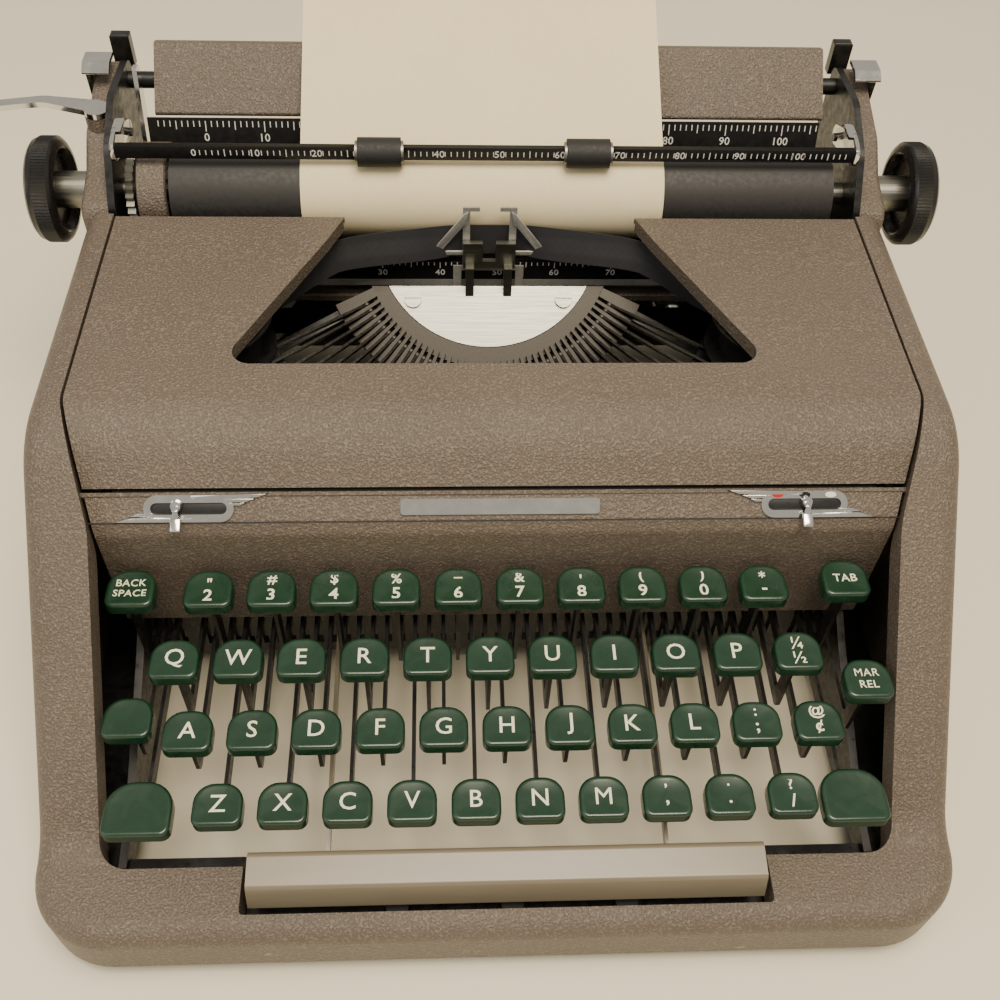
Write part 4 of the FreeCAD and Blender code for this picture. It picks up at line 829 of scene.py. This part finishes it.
# %% Setting spots
SPOT_THICK = 0.12
SPOT_UP = 2.9
SPOTS = {  # colour and X
    "red": ("#b3211c", 84.3), "black": ("#0c0c0c", 92.6), "white": ("#ece8d6", 100.6),
}
for name, (colour, x) in SPOTS.items():
    material, tree, shader, place = start_material("vitreous_" + name + "_spot", Roughness=0.25)
    mottle = add(tree, "TexNoise", {"Vector": place, "Scale": per_mm(0.8), "Detail": 3.0})
    faint = add(tree, "MapRange", {"Value": mottle.outputs["Fac"], "To Max": 0.15})
    spot_tone = add(tree, "Mix", {FACTOR: faint.outputs["Result"], FIRST: linear(colour),
                                  SECOND: linear("#3a3530")}, data_type="RGBA")
    tree.links.new(spot_tone.outputs[BLENDED], shader.inputs["Base Color"])
    bm = bmesh.new()
    bmesh.ops.create_circle(bm, cap_ends=True, segments=24, radius=1.0 * MM,
                            matrix=Matrix.Diagonal((1.7, 0.85, 1.0, 1.0)))
    thicken(bm, SPOT_THICK * MM)
    bmesh.ops.recalc_face_normals(bm, faces=bm.faces)
    on_loop = Matrix.Translation((x * MM, SPOT_UP * MM, (LOOP_THICK + 0.02) * MM))
    bmesh.ops.transform(bm, matrix=on_strip @ on_loop, verts=bm.verts)
    finish_piece("setting_spot_" + name, bm, material, "base", "chrome_plate")
print("spots made:", ", ".join(SPOTS))

# %% [markdown]
# Each slot's lever has a round button, a neck in the slot, and a finger pad bent outwards.

# %% The slot levers' fingers


def rounded_block(bm, size, matrix, soft):
    """A block with softened edges; size in millimetres."""
    block = bmesh.new()
    bmesh.ops.create_cube(block, size=1.0, matrix=Matrix.Diagonal((*[v * MM for v in size], 1.0)))
    bmesh.ops.bevel(block, geom=block.edges[:], offset=soft * MM, segments=3, profile=0.5,
                    affect="EDGES", material=-1, clamp_overlap=True)
    stamp(bm, as_mesh(block, "block"), matrix)


for node, x in (("touch_lever", -96.2), ("selector_lever", 93.1)):
    bm = bmesh.new()
    foot = on_strip @ Matrix.Translation((x * MM, 0, 0))
    bmesh.ops.create_cone(bm, cap_ends=True, segments=24, radius1=1.9 * MM, radius2=1.5 * MM,
                          depth=1.6 * MM, matrix=foot @ Matrix.Translation((0, 0.9 * MM, 1.7 * MM)))
    bmesh.ops.create_cone(bm, cap_ends=True, segments=20, radius1=1.1 * MM, radius2=1.1 * MM,
                          depth=3.0 * MM, matrix=foot @ Matrix.Translation((0, 0, 1.6 * MM)))
    rounded_block(bm, (1.7, 3.6, 1.0),
                  foot @ Matrix.Translation((0, -1.8 * MM, 2.7 * MM))
                  @ Matrix.Rotation(math.radians(14), 4, "X"), 0.35)
    rounded_block(bm, (3.2, 4.2, 1.1),
                  foot @ Matrix.Translation((0, -4.6 * MM, 3.2 * MM))
                  @ Matrix.Rotation(math.radians(-20), 4, "X"), 0.45)
    finish_piece(node + "_finger", bm, metals["chromium_plate"], node, "chrome_plate", node)
print("slot levers have their fingers")

# %% [markdown]
# The platen knobs are turned from bakelite rod and knurled. A ring of points is extruded along
# the knob's profile; on the grip every second point is pulled in, which makes the knurl. The
# real knurl is finer, and 96 teeth still read as knurling from a yard away.

# %% Knurled knobs
TEETH = 96
KNURL = 0.35
SHAFT_Y, SHAFT_Z = 249.0, 112.0


def knob(side):
    """A knurled knob on the platen shaft; side is -1 or 1."""
    low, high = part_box("knob_left" if side < 0 else "knob_right")
    wide = (high.x - low.x) / MM
    start = high.x if side < 0 else low.x
    profile = [  # distance out from the inner face, radius, knurled
        (3.0, 6.6, 0), (3.0, 13.2, 0), (0.5, 14.3, 0), (0.0, 15.0, 0), (0.2, 16.6, 0),
        (1.0, 17.9, 0), (1.6, 18.3, 0), (1.8, 18.65, 1), (wide - 3.2, 18.65, 1),
        (wide - 3.0, 18.3, 0), (wide - 1.4, 17.8, 0), (wide - 0.4, 16.5, 0), (wide, 14.8, 0),
        (wide - 0.3, 13.4, 0), (wide - 0.8, 12.9, 0), (wide - 0.8, 4.0, 0), (wide - 0.4, 3.2, 0),
    ]
    bm = bmesh.new()
    middle = at(0, SHAFT_Y, SHAFT_Z)

    def place(ring, out, radius, knurled):
        for i, v in enumerate(ring):
            turn = math.pi * i / TEETH
            reach = (radius - KNURL * knurled * (i % 2)) * MM
            v.co = Vector((start + side * out * MM, middle.y + reach * math.cos(turn),
                           middle.z + reach * math.sin(turn)))

    bmesh.ops.create_circle(bm, segments=2 * TEETH, radius=1.0)
    ring = bm.verts[:]
    place(ring, *profile[0])
    for step in profile[1:]:
        loop = [bm.edges.get((v, w)) for v, w in zip(ring, ring[1:] + ring[:1])]
        made = bmesh.ops.extrude_edge_only(bm, edges=loop)["geom"]
        fresh = {v for v in made if isinstance(v, bmesh.types.BMVert)}
        ring = [next(e.other_vert(v) for e in v.link_edges if e.other_vert(v) in fresh)
                for v in ring]
        place(ring, *step)
    bm.faces.new(ring)
    bm.faces.new(bm.verts[:2 * TEETH])
    bmesh.ops.recalc_face_normals(bm, faces=bm.faces)
    return bm


for side, node in ((-1, "knob_left"), (1, "knob_right")):
    finish_piece(node + "_knurled", knob(side), darks["polished_bakelite"], "platen",
                 "knob_black", node, smooth=28.0)
print("knobs knurled with", TEETH, "teeth")

# %% [markdown]
# At the left end an enamelled collar stands round the platen's shaft, with the line ratchet
# beside it. Both are short profiles spun round the shaft; every second outer point of the
# ratchet is then let in, which makes its teeth.

# %% Platen collar and line ratchet


def spun(profile, steps):
    """A closed profile of (X, radius) in millimetres, spun round the platen's shaft."""
    bm = bmesh.new()
    points = [bm.verts.new(at(x, SHAFT_Y, SHAFT_Z + radius)) for x, radius in profile]
    edges = [bm.edges.new(pair) for pair in zip(points, points[1:] + points[:1])]
    bmesh.ops.spin(bm, geom=points + edges, cent=at(0, SHAFT_Y, SHAFT_Z), axis=(1, 0, 0),
                   dvec=(0, 0, 0), angle=2 * math.pi, steps=steps, use_merge=True)
    bmesh.ops.recalc_face_normals(bm, faces=bm.faces)
    return bm


bm = spun([(-123.6, 14.2), (-123.6, 16.2), (-123.2, 16.7), (-114.0, 16.7), (-113.6, 16.2),
           (-113.6, 14.2)], 72)
finish_piece("platen_collar", bm, crinkle_enamel, "carriage", "crinkle_paint")

RATCHET_TEETH = 30
RATCHET_OUTER = 14.0
TOOTH_SHARE = 0.9  # the tooth gaps' radius as a share of the outer one
bm = spun([(-128.2, 7.0), (-128.2, RATCHET_OUTER), (-125.4, RATCHET_OUTER), (-125.4, 7.0)],
          2 * RATCHET_TEETH)
hub = at(0, SHAFT_Y, SHAFT_Z)
for v in bm.verts:
    reach = math.hypot(v.co.y - hub.y, v.co.z - hub.z)
    turn = round(math.atan2(v.co.z - hub.z, v.co.y - hub.y) * RATCHET_TEETH / math.pi)
    if reach > (RATCHET_OUTER - 0.5) * MM and turn % 2:
        v.co.y = hub.y + (v.co.y - hub.y) * TOOTH_SHARE
        v.co.z = hub.z + (v.co.z - hub.z) * TOOTH_SHARE
finish_piece("line_ratchet", bm, metals["ground_bright_steel"], "platen", "bright_steel",
             smooth=25.0)

# %% [markdown]
# The paper bail is one welded part in the frame, but its bar is lacquered black and its arms
# are chromed. A welded copy of it carries both materials, chosen by how far out a face lies.

# %% Two-tone paper bail and roller ends
ARMS_FROM = 127.0 * MM  # faces further out than this belong to the arms
BAIL_ROLLERS = (-38.6, 34.4)
BAIL = (242.4, 133.0)
bm = bmesh.new()
bm.from_mesh(nodes["paper_bail"].data)
bmesh.ops.remove_doubles(bm, verts=bm.verts, dist=1e-6)
middle_x = at(0, 0, 0).x
for face in bm.faces:
    face.material_index = int(abs(face.calc_center_median().x - middle_x) > ARMS_FROM)
piece = finish_piece("bail_bar_and_arms", bm, darks["matt_black_lacquer_and_painted_slot_shade"], "bail",
                     "black_steel", "paper_bail", smooth=30.0)
piece.data.materials.append(metals["chromium_plate"])

bm = bmesh.new()
for x in BAIL_ROLLERS:
    for out in (-8.0, 8.0):
        bmesh.ops.create_cone(bm, cap_ends=True, segments=32, radius1=3.9 * MM,
                              radius2=3.9 * MM, depth=0.8 * MM,
                              matrix=Matrix.Translation(at(x + out, *BAIL))
                              @ Matrix.Rotation(math.radians(90), 4, "Y"))
finish_piece("bail_roller_washers", bm, metals["zinc_plated_steel"], "bail", "bright_steel")

# %% [markdown]
# The ribbon leaves each spool upright, then leans back to lie along the line of the type
# basket, and stands up again between the vibrator's forks. Its lower edge is a chain of
# points; extruding the chain and moving each new point gives the leaning strip, and a smoothing
# pass rounds the bends as cotton would.

# %% The ribbon
STATIONS = (
    # X, lower edge (Y, Z), upper edge (Y, Z)
    (82.0, (193.2, 98.6), (193.2, 110.8)), (72.0, (201.5, 98.6), (202.5, 110.6)),
    (63.0, (211.0, 98.6), (214.5, 110.2)), (54.0, (219.5, 98.6), (226.2, 109.0)),
    (40.0, (222.2, 98.8), (229.2, 109.4)), (27.0, (224.0, 99.0), (230.6, 110.0)),
    (17.0, (226.6, 99.0), (231.4, 110.6)), (11.0, (229.9, 98.8), (231.2, 110.9)),
    (0.0, (230.6, 98.6), (230.9, 111.0)),
)
bm = bmesh.new()
whole = list(STATIONS) + [(-x, low, high) for x, low, high in reversed(STATIONS[:-1])]
lower = [bm.verts.new(at(x, *low)) for x, low, _ in whole]
chain = [bm.edges.new(pair) for pair in zip(lower, lower[1:])]
made = bmesh.ops.extrude_edge_only(bm, edges=chain)["geom"]
fresh = {v for v in made if isinstance(v, bmesh.types.BMVert)}
for v, (x, _, high) in zip(lower, whole):
    upper = next(e.other_vert(v) for e in v.link_edges if e.other_vert(v) in fresh)
    upper.co = at(x, *high)
bmesh.ops.subdivide_edges(bm, edges=bm.edges[:], cuts=3, use_grid_fill=True)
inner_points = [v for v in bm.verts if not v.is_boundary or len(v.link_edges) > 2]
for _ in range(4):
    bmesh.ops.smooth_vert(bm, verts=inner_points, factor=0.5, use_axis_x=False,
                          use_axis_y=True, use_axis_z=False)
bmesh.ops.recalc_face_normals(bm, faces=bm.faces)
bmesh.ops.solidify(bm, geom=bm.faces[:], thickness=0.25 * MM)
finish_piece("typing_ribbon", bm, ribbon_cloth, "base", "ribbon_black", "ribbon", smooth=60.0)
print("ribbon of", len(whole), "stations")

# %% [markdown]
# The stage: a plain pale floor, a large soft light overhead and a weaker one from the left, as
# on a table under a lit ceiling by a window. Large lights give the soft shadow edges and the
# broad sheen on the enamel.

# %% Floor, light and camera
bm = bmesh.new()
bmesh.ops.create_grid(bm, x_segments=1, y_segments=1, size=3.0)
mesh = as_mesh(bm, "floor")
floor = bpy.data.objects.new("floor", mesh)
scene.collection.objects.link(floor)
material, tree, shader, place = start_material("pale_table", Roughness=0.7)
shader.inputs["Base Color"].default_value = linear("#e2dac2")
mesh.materials.append(material)

world = bpy.data.worlds.new("studio")
world.use_nodes = True
world.node_tree.nodes["Background"].inputs["Color"].default_value = linear("#fff6e6")
world.node_tree.nodes["Background"].inputs["Strength"].default_value = 0.55
scene.world = world


def area_light(name, place, aim, size, power, colour):
    """A square soft light at a place, turned towards aim."""
    light = bpy.data.lights.new(name, "AREA")
    light.size = size
    light.energy = power
    light.color = linear(colour)[:3]
    lamp = bpy.data.objects.new(name, light)
    lamp.location = place
    lamp.rotation_euler = (Vector(aim) - Vector(place)).to_track_quat("-Z", "Y").to_euler()
    scene.collection.objects.link(lamp)


area_light("ceiling", (0.1, -0.3, 1.3), (0, 0, 0), 0.7, 24.0, "#fff1da")
area_light("window", (-1.0, -0.6, 0.9), (0, 0, 0.05), 0.9, 4.0, "#f4f6ff")

FOCAL = 41.37
YAW, PITCH_DOWN, ROLL = (math.radians(a) for a in (4.35, 51.1, 2.96))
forward = Vector((math.sin(YAW) * math.cos(PITCH_DOWN), math.cos(YAW) * math.cos(PITCH_DOWN),
                  -math.sin(PITCH_DOWN)))
level = Vector((math.cos(YAW), -math.sin(YAW), 0))
upright = level.cross(forward)
right = math.cos(ROLL) * level + math.sin(ROLL) * upright
up = -math.sin(ROLL) * level + math.cos(ROLL) * upright
camera = bpy.data.objects.new("camera", bpy.data.cameras.new("camera"))
camera.data.lens = FOCAL
camera.data.sensor_width = 36.0
camera.matrix_world = (Matrix.Translation(at(-16.6, -104.0, 369.8))
                       @ Matrix((right, up, -forward)).transposed().to_4x4())
scene.collection.objects.link(camera)
scene.camera = camera
print("camera at", camera.location)
